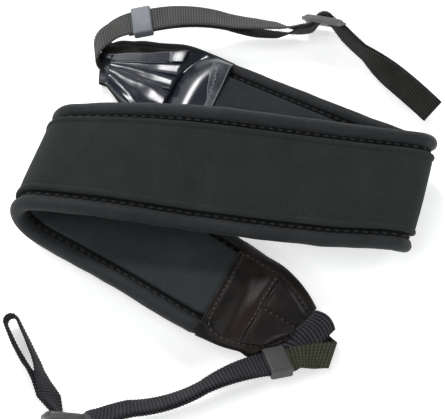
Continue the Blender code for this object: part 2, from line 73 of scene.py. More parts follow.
# How far the soft pad gives at its far and near edge, at distances along it.
GIVE = [
    Give(-172.0, (0, 0, 0), (0, 0, 0)),
    Give(-140.0, (0, 0, 0), (0.3, 0.9, 0)),
    Give(-115.0, (0, 0, 0), (0.2, 0.6, 0)),
    Give(-98.0, (-1.6, 0.3, 0), (0, 0, 0)),
    Give(-79.0, (-3.6, 0.9, 0), (0, 0, 0)),
    Give(-60.0, (-1.8, 0.4, 0), (0, 0, 0)),
    Give(-40.0, (0, 0, 0), (0, 0.2, 0)),
    Give(0.0, (0, 0, 0), (0, -0.4, 0)),
    Give(40.0, (0, 0, 0), (0, -0.8, 0)),
    Give(65.0, (0, 0.4, 0), (0, 0, 0)),
    Give(82.0, (0, 1.0, 0), (1.0, 1.7, 0)),
    Give(97.0, (0.3, 1.2, 0), (1.9, 2.2, 0)),
    Give(112.0, (0, 0.6, 0), (0.9, 1.1, 0)),
    Give(135.0, (0, 0, 0), (0, 0, 0)),
]
LOWER_MOUTH = -sum(row.length for row in PAD_LOWER[:3])
UPPER_MOUTH = sum(row.length for row in PAD_UPPER[:3])
LOWER_LENGTH = sum(row.length for row in PAD_LOWER[3:])
UPPER_LENGTH = sum(row.length for row in PAD_UPPER[3:])
LOWER_WIDTHS = [
    Width(0.0, 27.8, 27.8),
    Width(0.2, 25.8, 25.9),
    Width(0.4, 24.3, 24.1),
    Width(0.6, 20.7, 21.6),
    Width(0.8, 15.6, 18.8),
    Width(1.0, 9.5, 7.0),
]
UPPER_WIDTHS = [
    Width(0.0, 27.8, 27.8),
    Width(0.2, 27.5, 27.0),
    Width(0.4, 26.3, 25.3),
    Width(0.6, 21.6, 21.8),
    Width(0.8, 17.6, 16.7),
    Width(1.0, 9.4, 9.4),
]
TIPS = {
    "lower": Tip(LOWER_MOUTH, LOWER_LENGTH, -1, LOWER_WIDTHS, [Flare(0.62, 0.3, 0.0, 3.2)]),
    "upper": Tip(UPPER_MOUTH, UPPER_LENGTH, 1, UPPER_WIDTHS,
                 [Flare(0.8, 0.17, 3.0, 0.0), Flare(0.6, 0.2, 0.0, 1.2)]),
}
# The gathered layer's valleys, in millimetres across at its mouth and its nose, and the pleats
# between them. The last pleat has curves of its own.
VALLEYS = [Valley(13.0, 1.7), Valley(5.0, 0.6), Valley(-3.6, -2.4), Valley(-19.0, -5.5), Valley(-27.0, -11.5)]
PLEATS = [Pleat(0.9, 5.5), Pleat(1.0, 3.2), Pleat(1.0, 2.4)]
# Half width of the pad, radius of its rims, half thickness of its flat middle, and the stitches' pitch.
HALF, RIM, FLAT, STITCH = 27.5, 3.4, 1.15, 4.0
# Half thickness of a tip's sleeve at its mouth and its nose.
TIP_MOUTH_HALF, TIP_NOSE_HALF = 3.9, 2.75

# ---------------------------------------------------------------- tables of the webbing
# A layer's distance from the middle of its pair. Then how the pair climbs to a slider's bar.
LAYER = 0.675
RISE, RISE_LENGTH, RAMP_LENGTH, ARCH_RADIUS, GLIDE_OFFSET = 45.0, 3.0, 4.0, 3.4, 2.5
# A strap's rows run from the tip's nose through the curl (fold), and from the keeper to the tail's
# end (run, the climb over the slider's bar, tail). Spread is the half gap between the pair's layers.
# Free has the middle of the loose end past the keeper and where its far edge points. The ribs have a
# pitch, and the second material (the olive back on the near strip, painted shade on the far strip)
# shows between the distances in backs. A bulge moves the middle by shift and tilts the width.
NEAR_STRAP = Strap(
    end="lower",
    fold=[
        Row(12.83, 8, 14.0, 1.66, -1.82, -24.26),
        Row(13.41, 16, -189.39, 1.71, 0.0, -24.26, 0.25),
        Row(13.85, 12, 6.12, 34.22, -10.14),
    ],
    arch=0.6,
    roll=9.0,
    keeper=Start(22.8, -76.0, 8.4, 197.5, 26.4, 8.6),
    run=[
        Row(5.0, 2),
        Row(27.5, 10, 21.5, 28.3, 1.9),
        Row(32.3, 10, -28.4, -6.1, -3.8),
        Row(13.5, 10, 8.3, 39.4, -8.6),
        Row(3.5, 2),
    ],
    way=1,
    turn=74.0,
    tail=[
        Row(10.0, 8, 5.7, -33.4, -8.4),
        Row(14.0, 8, 2.2, 26.5, 4.7),
        Row(23.5, 10, -7.6, 7.6, 19.5),
    ],
    spread=[
        Spread(0.0, 0.675), Spread(8.0, 0.675), Spread(14.0, 0.78), Spread(74.0, 0.78),
        Spread(79.0, 0.675), Spread(107.0, 0.675), Spread(117.0, 0.97), Spread(127.0, 2.37),
        Spread(137.0, 2.84), Spread(147.0, 2.72),
    ],
    free=[
        ((31.6, -67.2, 5.1), (-7.3, 6.2, -0.2)),
        ((37.8, -62.3, 6.8), (-7.5, 8.7, 0.0)),
        ((44.1, -56.3, 7.4), (-8.0, 8.8, 0.4)),
    ],
    bow=2.2,
    pitch=1.5,
    backs=[(16.0, 51.0)],
    # Both layers lean over before the slider.
    bulges=[
        Bulge(128.5, 14.0, (0.0, -2.6, 0.0), (0.0, 0.95, 0.0)),
        Bulge(277.0, 14.0, (0.0, -1.8, 0.0), (0.0, 0.95, 0.0)),
    ],
)
FAR_STRAP = Strap(
    end="upper",
    fold=[
        Row(2.6, 8, -25.37, 19.05, -23.06, -32.37),
        Row(17.82, 16, -147.28, 0.42, 0.0, -32.37, 0.25),
        Row(15.3, 12, 10.91, 13.04, 33.06),
    ],
    arch=0.3,
    roll=0.0,
    keeper=Start(-38.8, 95.1, 13.7, 7.5, 3.7, 8.5),
    run=[
        Row(5.0, 2),
        Row(37.3, 10, 27.7, -24.7, -8.2),
        Row(24.9, 10, -15.1, -19.1, -5.3),
        Row(11.2, 10, -9.8, -27.8, -3.6),
        Row(3.5, 2),
    ],
    way=-1,
    turn=52.0,
    tail=[
        Row(8.0, 8, 4.2, -11.7, -7.0),
        Row(14.0, 8, -2.6, 1.2, -7.0),
        Row(20.0, 10, -1.9, -47.4, -0.1),
        Row(23.3, 12, -2.5, -12.7, 4.7),
    ],
    spread=[
        Spread(0.0, 0.675), Spread(5.0, 0.675), Spread(12.0, 0.85), Spread(42.0, 0.85),
        Spread(56.0, 2.3), Spread(66.0, 2.3), Spread(78.0, 0.675), Spread(98.0, 0.675),
        Spread(112.0, 0.7), Spread(125.0, 0.85), Spread(150.0, 1.4), Spread(165.0, 1.15),
    ],
    free=[],
    bow=0.0,
    pitch=1.25,
    # The far strip's darker copy, painted shade, covers its root and curl start, and its tail onwards from
    # 141.
    backs=[(0.0, 18.0), (141.0, 400.0)],
    # The curl stands out.
    bulges=[Bulge(27.0, 13.0, (1.4, 1.8, 0.0), (0.18, -0.52, 0.05))],
)


# ---------------------------------------------------------------- lines
def unit(v):
    """Vectors of length 1."""
    return v / np.linalg.norm(v, axis=-1, keepdims=True)


def square(v, line):
    """Unit vectors at right angles to unit vectors, in their plane with v."""
    return unit(v - line * (v * line).sum(-1, keepdims=True))


def rotation(vector):
    """Rotation matrix for a rotation vector in radians."""
    angle = np.linalg.norm(vector)
    if angle < 1e-12:
        return np.eye(3)
    x, y, z = vector / angle
    cross = np.array([[0, -z, y], [z, 0, -x], [-y, x, 0]])
    return np.eye(3) + np.sin(angle) * cross + (1 - np.cos(angle)) * cross @ cross


def start_frame(start, tilt_last=False):
    """Columns are the tangent, the width and the face normal. Yaw, tilt and pitch, or yaw, pitch and tilt."""
    yaw = rotation(np.array([0, 0, 1]) * np.radians(start.azimuth))
    pitch = rotation(np.array([0, 1, 0]) * np.radians(-start.pitch))
    tilt = rotation(np.array([1, 0, 0]) * np.radians(start.tilt))
    return yaw @ pitch @ tilt if tilt_last else yaw @ tilt @ pitch


def shares(steps, ease):
    """How a row's bend is shared over its steps."""
    t = (np.arange(steps) + 0.5) / steps
    if not ease:
        return np.ones(steps) / steps
    w = np.minimum(1, np.minimum(t, 1 - t) / ease)
    w = w * w * (3 - 2 * w)
    return w / w.sum()


class Line(namedtuple("Line", "place axes skew dist")):
    """Stations of a band: place, frame, skew and distance."""

    def at(self, dists):
        """Place, across vector, normal and tangent at distances along the line."""
        dists = np.atleast_1d(np.asarray(dists, float))
        i = np.clip(np.searchsorted(self.dist, dists) - 1, 0, len(self.dist) - 2)
        t = ((dists - self.dist[i]) / (self.dist[i + 1] - self.dist[i]))[:, None]
        place = self.place[i] * (1 - t) + self.place[i + 1] * t
        mixed = self.axes[i] * (1 - t[:, :, None]) + self.axes[i + 1] * t[:, :, None]
        tangent = unit(mixed[:, :, 0])
        normal = square(mixed[:, :, 2], tangent)
        width = np.cross(normal, tangent)
        skew = np.radians(self.skew[i] * (1 - t[:, 0]) + self.skew[i + 1] * t[:, 0])
        return place, width + tangent * np.tan(skew)[:, None], normal, tangent


def follow(place, axes, rows, skew, way=1):
    """Walk along a table of rows, forwards or backwards, in fine steps."""
    stations = [(np.array(place, float), axes, skew, 0.0)]
    for row in rows:
        steps = row.steps * FINE
        share = shares(steps, row.ease)
        stride = way * row.length / steps
        first = stations[-1][2]
        for i in range(steps):
            place, axes, skew, dist = stations[-1]
            tangent, width, normal = axes.T
            lean = np.radians(first + (row.skew - first) * (i + 0.5) / steps)
            crease = width * np.cos(lean) + tangent * np.sin(lean)
            spin = crease * np.radians(row.bend) * share[i]
            spin = spin + tangent * np.radians(row.twist) / steps
            spin = spin + normal * np.radians(row.steer) / steps
            turned = rotation(spin * way) @ axes
            place = place + stride * (tangent + turned[:, 0]) / 2
            skew = first + (row.skew - first) * (i + 1) / steps
            stations.append((place, turned, skew, dist + stride))
    return Line(*(np.array(column) for column in zip(*stations)))


def joined(back, ahead):
    """One line from a backward and a forward line that share their start."""
    return Line(*(np.concatenate([first[::-1], second[1:]]) for first, second in zip(back, ahead)))


def lengths(points):
    """Distance along a polyline, at each of its points."""
    return np.concatenate([[0], np.cumsum(np.linalg.norm(np.diff(points, axis=0), axis=1))])


# ---------------------------------------------------------------- curves
def smooth(at, xs, ys):
    """A soft curve through a table of values."""
    at = np.asarray(at, float)
    xs = np.array(xs, float)
    ys = np.array(ys, float)
    slope = np.gradient(ys, xs)
    i = np.clip(np.searchsorted(xs, at) - 1, 0, len(xs) - 2)
    h = xs[i + 1] - xs[i]
    t = (at - xs[i]) / h
    a = ys[i] * (1 + 2 * t) * (1 - t) ** 2 + ys[i + 1] * t * t * (3 - 2 * t)
    return a + h * (slope[i] * t * (1 - t) ** 2 - slope[i + 1] * t * t * (1 - t))


def by_axis(read, at, marks, points):
    """Points read at distances from a table of points, by smooth or np.interp."""
    points = np.asarray(points, float)
    return np.stack([read(at, marks, points[:, k]) for k in range(3)], 1)


def curve(*marks):
    """A function made of straight stretches between marks of (x, y)."""
    xs, ys = zip(*marks)
    return lambda x: np.interp(x, xs, ys)


def soft_curve(*marks):
    """A smooth function through marks of (x, y), flat past its ends."""
    xs, ys = zip(*marks)
    return lambda x: smooth(np.clip(x, xs[0], xs[-1]), xs, ys)


def step(x):
    """0 to 1, softly."""
    x = np.clip(x, 0, 1)
    return x * x * (3 - 2 * x)


def swell(x):
    """Up from 0 to 1 and down again, as x goes from 0 to 1."""
    return np.sin(np.pi * np.clip(x, 0, 1))


def dip(x, depth, width):
    """A soft groove, or a ridge where depth is negative."""
    return -depth * np.exp(-((x / width) ** 2))


def wobble(along, across, seed, scale=1.0):
    """Smooth noise over the cloth, about -1 to 1."""
    read = np.vectorize(lambda x, y: noise.noise((x / scale, y / scale, seed)), otypes=[float])
    return read(along, across)


# ---------------------------------------------------------------- meshes
def placed(name, data):
    """A new object in the scene."""
    thing = bpy.data.objects.new(name, data)
    bpy.context.scene.collection.objects.link(thing)
    return thing


def finish_mesh(name, verts, faces, material, uvs=None):
    """An object in metres from points in millimetres, smooth shaded and riding on the body."""
    mesh = bpy.data.meshes.new(name)
    mesh.from_pydata(((np.asarray(verts) - FOOT) * 0.001).tolist(), [], faces)
    if uvs is not None:
        layer = mesh.uv_layers.new(name="Cloth")
        layer.data.foreach_set("uv", np.asarray(uvs, dtype=np.float32).ravel())
    work = bmesh.new()
    work.from_mesh(mesh)
    bmesh.ops.recalc_face_normals(work, faces=work.faces[:])
    work.to_mesh(mesh)
    work.free()
    mesh.polygons.foreach_set("use_smooth", np.ones(len(mesh.polygons), dtype=bool))
    mesh.materials.append(material)
    thing = placed(name, mesh)
    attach(thing, "root")
    return thing


def second_material(thing, material, chosen, rest=0):
    """Put a second material on the chosen ones of the first faces. Rest is the slot of the others."""
    thing.data.materials.append(material)
    slots = np.full(len(thing.data.polygons), rest, dtype=np.int32)
    slots[: chosen.size] = chosen.ravel()
    thing.data.polygons.foreach_set("material_index", slots)


def rings_of(stations, loops):
    """Rings of points from (place, across, normal) arrays and loops of (v, w)."""
    place, across, normal = stations[:3]
    return place[:, None] + loops[..., 0:1] * across[:, None] + loops[..., 1:2] * normal[:, None]


def tube_faces(count, size, offset=0):
    """Quads of a tube of count rings with size points each."""
    i = np.arange(count - 1)[:, None] * size + offset
    j = np.arange(size)[None, :]
    k = (j + 1) % size
    return np.stack([i + j, i + k, i + size + k, i + size + j], -1).reshape(-1, 4)


def cap_faces(count, size, offset=0):
    """The two end faces of such a tube."""
    last = offset + (count - 1) * size
    return [tuple(range(offset, offset + size)), tuple(range(last, last + size))]


def tube_uvs(along, around):
    """UVs of a tube's quads, in millimetres."""
    count, size = len(along) - 1, len(around) - 1
    u0, u1 = (np.repeat(ends[:, None], size, 1) for ends in (along[:-1], along[1:]))
    v0, v1 = (np.repeat(ends[None], count, 0) for ends in (around[:-1], around[1:]))
    corners = [np.stack(pair, -1) for pair in ((u0, v0), (u0, v1), (u1, v1), (u1, v0))]
    return np.stack(corners, 2).reshape(-1, 2)


def around_of(loop):
    """Arc length round a loop, starting at its first point, with the closing value."""
    return lengths(np.concatenate([loop, loop[:1]]))


def solid_tube(name, rings, along, around, material):
    """A closed tube with flat ends and UVs from the distances along and around it."""
    count, size = rings.shape[:2]
    faces = tube_faces(count, size).tolist() + cap_faces(count, size)
    cap_uvs = [(along[end], around[j]) for end in (0, -1) for j in range(size)]
    uvs = np.concatenate([tube_uvs(along, around), np.array(cap_uvs)])
    return finish_mesh(name, rings.reshape(-1, 3), faces, material, uvs)


def hollow_tube(name, outer, inner, material):
    """A sleeve with an outer and an inner wall, open at both ends, without UVs."""
    count, size = outer.shape[:2]
    verts = np.concatenate([outer.reshape(-1, 3), inner.reshape(-1, 3)])
    faces = [tube_faces(count, size), tube_faces(count, size, count * size)]
    for first in (0, (count - 1) * size):
        a = first + np.arange(size)
        b = a + count * size
        faces.append(np.stack([a, np.roll(a, -1), np.roll(b, -1), b], 1))
    return finish_mesh(name, verts, np.concatenate(faces).tolist(), material)


def circle(side, up):
    """Six points on circles of radius 1, from their two axes."""
    turn = 2 * np.pi * np.arange(6)[:, None] / 6
    return side[..., None, :] * np.cos(turn) + up[..., None, :] * np.sin(turn)


def many_tubes(name, tubes, material):
    """Closed tubes in one mesh, each an array of rings."""
    faces = []
    base = 0
    for rings in tubes:
        count, size = rings.shape[:2]
        faces += tube_faces(count, size, base).tolist() + cap_faces(count, size, base)
        base += count * size
    return finish_mesh(name, np.concatenate([rings.reshape(-1, 3) for rings in tubes]), faces, material)


def stitch_row(name, paths, material, length, radius):
    """Thread stitches: a short capsule for each (middle, direction, outward) of the paths."""
    a = np.linspace(-1, 1, 5)[:, None]
    reach = np.maximum(np.sqrt(np.maximum(0.0, 1 - a ** 4)) * radius, 0.02)
    sink = -0.35 * radius * a * a
    tubes = []
    for middle, direction, outward in paths:
        spine = middle + direction * (a * length / 2) + outward * sink
        ring = circle(np.cross(direction, outward), outward)
        tubes.append(spine[:, None] + ring * reach[:, None])
    return many_tubes(name, tubes, material)


def bead(name, lines, radius, material):
    """Thin round cords along polylines of points."""
    tubes = []
    for points in lines:
        ahead = unit(np.gradient(points, axis=0))
        side = unit(np.cross(ahead, (0.0, 0.0, 1.0)))
        tubes.append(points[:, None] + radius * circle(side, np.cross(side, ahead)))
    return many_tubes(name, tubes, material)


# ---------------------------------------------------------------- materials
def node_material(name):
    """A new material, its tree and its shader."""
    material = bpy.data.materials.new(name)
    material.use_nodes = True
    tree = material.node_tree
    return material, tree, tree.nodes["Principled BSDF"]


def put(node, **values):
    """Set a node's own inputs."""
    for key, value in values.items():
        node.inputs[key.replace("_", " ")].default_value = value


def math_node(tree, operation, a, b=None):
    """A math node fed by sockets or numbers."""
    node = tree.nodes.new("ShaderNodeMath")
    node.operation = operation
    for index, value in enumerate((a, b)):
        if isinstance(value, (int, float)):
            node.inputs[index].default_value = value
        elif value is not None:
            tree.links.new(value, node.inputs[index])
    return node.outputs[0]


def weighted(tree, *parts):
    """The sum of sockets, each times its weight."""
    terms = [math_node(tree, "MULTIPLY", socket, weight) for socket, weight in parts]
    total = terms[0]
    for term in terms[1:]:
        total = math_node(tree, "ADD", total, term)
    return total


def paint(tree, shader, factor, dark, light, low=0.35, high=0.65):
    """Base colour from a ramp between two colours."""
    ramp = tree.nodes.new("ShaderNodeValToRGB")
    for element, position, colour in zip(ramp.color_ramp.elements, (low, high), (dark, light)):
        element.position = position
        element.color = (*colour, 1)
    tree.links.new(factor, ramp.inputs[0])
    tree.links.new(ramp.outputs[0], shader.inputs["Base Color"])


def cloth_coordinates(tree):
    """Distance along and across the cloth, in millimetres."""
    uv = tree.nodes.new("ShaderNodeUVMap")
    uv.uv_map = "Cloth"
    split = tree.nodes.new("ShaderNodeSeparateXYZ")
    tree.links.new(uv.outputs[0], split.inputs[0])
    return split.outputs[0], split.outputs[1]


def noise_of(tree, scale, detail=4.0, roughness=0.55):
    """Noise in object space, scale in features per metre."""
    node = tree.nodes.new("ShaderNodeTexNoise")
    put(node, Scale=scale, Detail=detail, Roughness=roughness)
    place = tree.nodes.new("ShaderNodeTexCoord")
    tree.links.new(place.outputs["Object"], node.inputs["Vector"])
    return node.outputs[0]


def wave(tree, socket, pitch):
    """A wave of a distance in millimetres, from -1 to 1."""
    return math_node(tree, "COSINE", math_node(tree, "MULTIPLY", socket, 2 * np.pi / pitch))


def bump(tree, shader, height, strength, distance):
    """Relief from a height socket."""
    node = tree.nodes.new("ShaderNodeBump")
    put(node, Strength=strength, Distance=distance)
    tree.links.new(height, node.inputs["Height"])
    tree.links.new(node.outputs[0], shader.inputs["Normal"])


def fabric(name, dark, light, knit, relief, rough=0.9, specular=0.12):
    """Fine knitted cloth: small loops, soft mottling, a little sheen."""
    material, tree, shader = node_material(name)
    along, across = cloth_coordinates(tree)
    loops = math_node(tree, "MULTIPLY", wave(tree, along, knit), wave(tree, across, knit * 0.8))
    fuzz = noise_of(tree, 900.0, 3.0)
    cloud = noise_of(tree, 60.0, 5.0, 0.6)
    paint(tree, shader, weighted(tree, (fuzz, 0.45), (cloud, 0.55)), dark, light, 0.38, 0.62)
    put(shader, Roughness=rough, Sheen_Weight=0.04, Sheen_Roughness=0.5, Specular_IOR_Level=specular)
    bump(tree, shader, weighted(tree, (loops, 0.5), (fuzz, 1.0)), relief, 0.0003)
    return material


def webbing_cloth(name, dark, light, pitch, columns=0.1):
    """Ribbed webbing: ribs across, finer warp columns along, and painted shade between the ribs."""
    material, tree, shader = node_material(name)
    along, across = cloth_coordinates(tree)
    rib = wave(tree, along, pitch)
    warp = wave(tree, across, 1.5)
    fuzz = noise_of(tree, 1400.0, 3.0)
    cloud = noise_of(tree, 120.0, 4.0)
    # The rib wave darkens the colour in the valleys between the ribs: painted shade.
    level = weighted(tree, (rib, 0.28), (warp, columns), (fuzz, 0.4), (cloud, 0.6))
    paint(tree, shader, level, dark, light, 0.2, 0.85)
    put(shader, Roughness=0.85, Sheen_Weight=0.03, Specular_IOR_Level=0.2)
    bump(tree, shader, weighted(tree, (warp, 0.35), (fuzz, 1.0)), 0.35, 0.0003)
    return material


def skin(name, dark, light, rough, grain, strength, coat, specular):
    """Leatherette or vinyl: cell grain, soft creases and a coat."""
    material, tree, shader = node_material(name)
    place = tree.nodes.new("ShaderNodeTexCoord")
    cells = tree.nodes.new("ShaderNodeTexVoronoi")
    cells.feature = "DISTANCE_TO_EDGE"
    put(cells, Scale=grain)
    tree.links.new(place.outputs["Object"], cells.inputs["Vector"])
    fine = noise_of(tree, grain * 0.8, 4.0)
    cloud = noise_of(tree, 55.0, 5.0, 0.6)
    paint(tree, shader, cloud, dark, light, 0.35, 0.68)
    gloss = math_node(tree, "ADD", math_node(tree, "MULTIPLY", cloud, 0.25), rough - 0.12)
    tree.links.new(gloss, shader.inputs["Roughness"])
    put(shader, Specular_IOR_Level=specular, Coat_Weight=coat, Coat_Roughness=0.2)
    cell = math_node(tree, "MINIMUM", cells.outputs[0], 0.3)
    bump(tree, shader, weighted(tree, (cell, 1.5), (fine, 0.6)), strength, 0.0004)
    return material


def plastic(name, colour, rough):
    """Moulded plastic with a faint mottle."""
    material, tree, shader = node_material(name)
    dark = tuple(c * 0.88 for c in colour)
    light = tuple(min(1.0, c * 1.12) for c in colour)
    paint(tree, shader, noise_of(tree, 200.0, 4.0), dark, light)
    put(shader, Roughness=rough)
    bump(tree, shader, noise_of(tree, 1600.0, 3.0), 0.12, 0.0002)
    return material


def thread(name, colour):
    """Sewing thread with a fine twist."""
    material, tree, shader = node_material(name)
    paint(tree, shader, noise_of(tree, 2500.0, 2.0), tuple(c * 0.6 for c in colour), colour)
    put(shader, Roughness=0.75)
    return material


RIM_CLOTH = fabric("rim_cloth", (0.010, 0.011, 0.0125), (0.0165, 0.0185, 0.0205), 0.55, 0.3, 0.58, 0.2)
# The cloth seen down the pad's stitch grooves: a much darker copy of the rim cloth, painted shade in the
# grooves.
GROOVE_SHADE_CLOTH = fabric("groove_painted_shade", (0.004, 0.0045, 0.005), (0.008, 0.009, 0.01), 0.55, 0.3)
PANEL_CLOTH = fabric("panel_cloth", (0.0155, 0.018, 0.0175), (0.022, 0.0255, 0.025), 0.62, 0.3)
LINING_CLOTH = fabric("lining_cloth", (0.020, 0.0228, 0.0245), (0.029, 0.033, 0.0355), 0.5, 0.2)
LEATHER = skin("lower_leather", (0.002, 0.002, 0.0022), (0.0118, 0.0067, 0.0054),
               0.42, 1100.0, 0.25, 0.0, 0.22)
LEATHER_TOP = skin("lower_leather_top", (0.002, 0.0022, 0.0025), (0.010, 0.0068, 0.006),
                   0.36, 1100.0, 0.22, 0.0, 0.28)
VINYL = skin("upper_vinyl", (0.006, 0.008, 0.0145), (0.0165, 0.0205, 0.032), 0.28, 700.0, 0.04, 0.55, 0.38)
VINYL_TOP = skin("upper_vinyl_top", (0.003, 0.0045, 0.011), (0.010, 0.013, 0.027),
                 0.28, 700.0, 0.04, 0.44, 0.33)
MARGIN = skin("upper_margin", (0.005, 0.0045, 0.004), (0.012, 0.011, 0.010), 0.6, 1100.0, 0.3, 0.0, 0.15)
FILM = skin("clear_film", (0.014, 0.016, 0.020), (0.115, 0.126, 0.140), 0.3, 1500.0, 0.1, 0.2, 0.3)
DARK_WEB = webbing_cloth("near_webbing_cloth", (0.003, 0.003, 0.004), (0.036, 0.036, 0.043), 1.5)
OLIVE_WEB = webbing_cloth("near_webbing_back", (0.013, 0.013, 0.007), (0.050, 0.050, 0.031), 1.5, 0.15)
GREY_WEB = webbing_cloth("far_webbing_cloth", (0.038, 0.038, 0.037), (0.106, 0.105, 0.102), 1.25, 0.14)
# A much darker copy of the grey webbing: painted shade on the far strip's root and curl start and on its
# tail.
SHADED_GREY_WEB = webbing_cloth("far_webbing_painted_shade", (0.005, 0.005, 0.0045), (0.030, 0.030, 0.027), 1.25, 0.12)
LOWER_PLASTIC = plastic("near_keeper_plastic", (0.037, 0.037, 0.0355), 0.55)
UPPER_PLASTIC = plastic("far_keeper_plastic", (0.142, 0.152, 0.178), 0.5)
DARK_GLIDE = plastic("near_slider_plastic", (0.05, 0.05, 0.05), 0.35)
GREY_GLIDE = plastic("far_slider_plastic", (0.13, 0.13, 0.13), 0.35)
DARK_THREAD = thread("dark_thread", (0.018, 0.019, 0.021))
PALE_THREAD = thread("pale_thread", (0.085, 0.06, 0.052))
CLEAR_THREAD = thread("clear_thread", (0.35, 0.37, 0.40))
CLEAR_EDGE = plastic("clear_edge", (0.16, 0.17, 0.19), 0.3)

# ---------------------------------------------------------------- the pad
PAD = joined(
    follow(PAD_START[:3], start_frame(PAD_START, tilt_last=True), PAD_LOWER, PAD_SKEW, -1),
    follow(PAD_START[:3], start_frame(PAD_START, tilt_last=True), PAD_UPPER, PAD_SKEW, 1),
)
# Where the pad and its faces end, 3 mm inside the tips.
PAD_ENDS = LOWER_MOUTH - 3.0, UPPER_MOUTH + 3.0
# Points of the pad's section: on each rim, and across each flat side.
ROUND, ACROSS = 27, 7


def pad_at(dists):
    """As PAD.at, with the give of the soft pad added."""
    place, across, normal, tangent = PAD.at(dists)
    marks, far, near = zip(*GIVE)
    at = np.clip(np.atleast_1d(np.asarray(dists, float)), marks[0], marks[-1])
    far, near = by_axis(smooth, at, marks, far), by_axis(smooth, at, marks, near)
    return place + (far + near) / 2, across + (far - near) / (2 * HALF), normal, tangent


def pad_rings(dists):
    """Sections of the padded band with its rims, pinched a little at each stitch, and the plain section."""
    angles = np.radians(np.linspace(150, -150, ROUND))
    rim = np.stack([np.cos(angles), np.sin(angles)], 1)
    far = rim * RIM + (HALF - RIM, 0.0)
    under = np.array([(v, -FLAT) for v in (19.6, 13.0, 6.5, 0.0, -6.5, -13.0, -19.6)])
    loop = np.concatenate([far, under, far[::-1] * (-1, 1), under[::-1] * (1, -1)])
    still = np.zeros((ACROSS, 2))
    out = np.concatenate([rim, still, rim[::-1] * (-1, 1), still])
    bulge = np.concatenate([np.cos(angles / 2.4), np.zeros(ACROSS)] * 2)
    pinch = np.concatenate([np.abs(np.degrees(angles)) > 95, np.zeros(ACROSS)] * 2)
    depth = 0.12 + 0.16 * np.cos(2 * np.pi * dists / STITCH)
    lumps = wobble(dists[:, None], np.arange(len(loop))[None] * 1.2, 3.0, 9.0) * 0.28
    amount = lumps * bulge - pinch * depth[:, None]
    return tucked(loop + out * amount[..., None], dists), loop


def tucked(loops, dists):
    """Loops that shrink where they go into the sleeves."""
    narrow, flat = 0.05, 0.22
    past = np.maximum(LOWER_MOUTH - dists, dists - UPPER_MOUTH) + 0.6
    share = np.clip(past / 3.6, 0, 1)[:, None]
    loops = loops.copy()
    loops[..., 0] *= 1 - narrow * share
    loops[..., 1] *= 1 - flat * share
    return loops


def build_pad():
    """The padded band, as one soft piece in place of the solid."""
    dists = np.linspace(*PAD_ENDS, 330)
    loops, loop = pad_rings(dists)
    pad = solid_tube("pad", rings_of(pad_at(dists), loops), dists, around_of(loop), RIM_CLOTH)
    # The last faces of each rim and the flat faces between them show in the stitch grooves and take the
    # darker groove cloth: painted shade.
    groove = np.concatenate([np.zeros(ROUND - 2, int), np.ones(ACROSS + 2, int)] * 2)
    second_material(pad, GROOVE_SHADE_CLOTH, np.tile(groove, len(dists) - 1))
    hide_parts("pad_body")


def build_face(name, node, half, rim, back, crown, ripples, material):
    """A layer on one face of the pad. Its rim is (inset, height) marks, its crown has a reach across,
    a height, a rise and the half width of the rise, and each ripple has a scale, a seed and a height."""
    dists = np.linspace(*PAD_ENDS, 300)
    reach, height, rise, wide = crown
    edge = [(half - inset, w) for inset, w in rim]
    inner = [(v, height + rise * (1 - (v / wide) ** 2)) for v in np.linspace(reach, -reach, 15)]
    loop = np.array(edge + inner + [(-v, w) for v, w in edge[::-1]] + [(v, back) for v in (-9.0, 0.0, 9.0)])
    loops = np.repeat(loop[None], len(dists), 0)
    soft = sum(wobble(dists[:, None], loop[None, :, 0], seed, scale) * size for scale, seed, size in ripples)
    loops[..., 1] += soft * (np.abs(loop[:, 1]) > 3.0)
    face = solid_tube(name, rings_of(pad_at(dists), tucked(loops, dists)), dists, around_of(loop), material)
    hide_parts(node)


def build_panel():
    """The raised panel with its fold-over lip, slightly crowned."""
    rim = [(0.3, 1.4), (0.0, 2.2), (-0.1, 2.9), (0.1, 3.35), (0.6, 3.62), (1.3, 3.72), (1.95, 3.6),
           (2.35, 3.3), (2.6, 3.08), (3.1, 3.12)]
    ripples = [(14.0, 7.0, 0.16), (5.0, 9.0, 0.05)]
    build_face("panel", "outer_panel", 18.9, rim, 1.4, (13.5, 3.15, 0.22, 15.4), ripples, PANEL_CLOTH)


def build_lining():
    """The flat lining on the inner face."""
    rim = [(0.2, -1.4), (-0.1, -2.6), (0.15, -3.05), (0.8, -3.22)]
    ripples = [(12.0, 17.0, -0.14)]
    build_face("lining", "inner_lining", 18.5, rim, -1.4, (16.5, -3.2, -0.1, 17.0), ripples, LINING_CLOTH)


def surface_stitches(dists, v, w, face):
    """Stitch triples along the pad at one place across it."""
    place, across, normal, tangent = pad_at(dists)
    return list(zip(place + across * v + normal * w, tangent, normal * face))


def build_pad_stitches():
    """Two rows of stitches in the grooves of each face."""
    groove, height = 20.35, 1.5
    dists = np.arange(LOWER_MOUTH + 3.0, UPPER_MOUTH - 3.0, STITCH)
    paths = []
    for v in (groove, -groove):
        for face in (1, -1):
            paths += surface_stitches(dists, v, height * face, face)
    seam = stitch_row("pad_stitches", paths, DARK_THREAD, 2.7, 0.42)


# ---------------------------------------------------------------- tips
# Places on a tip are a fraction of its length (at) and millimetres across (v), or the share of its
# half width there (f). The stitch lines near the lower tip's far and near edges:
far_seam = curve((-0.1, 20.2), (0.17, 19.0), (0.31, 18.3), (0.45, 17.5), (0.55, 15.8), (0.73, 11.8),
                 (0.925, 6.9), (1.0, 5.4))
near_seam = curve((0.0, -21.0), (0.121, -21.0), (0.171, -21.7), (0.233, -22.3), (0.321, -22.0),
                  (0.442, -21.0), (0.6, -18.8), (0.8, -15.9), (1.0, -5.2))
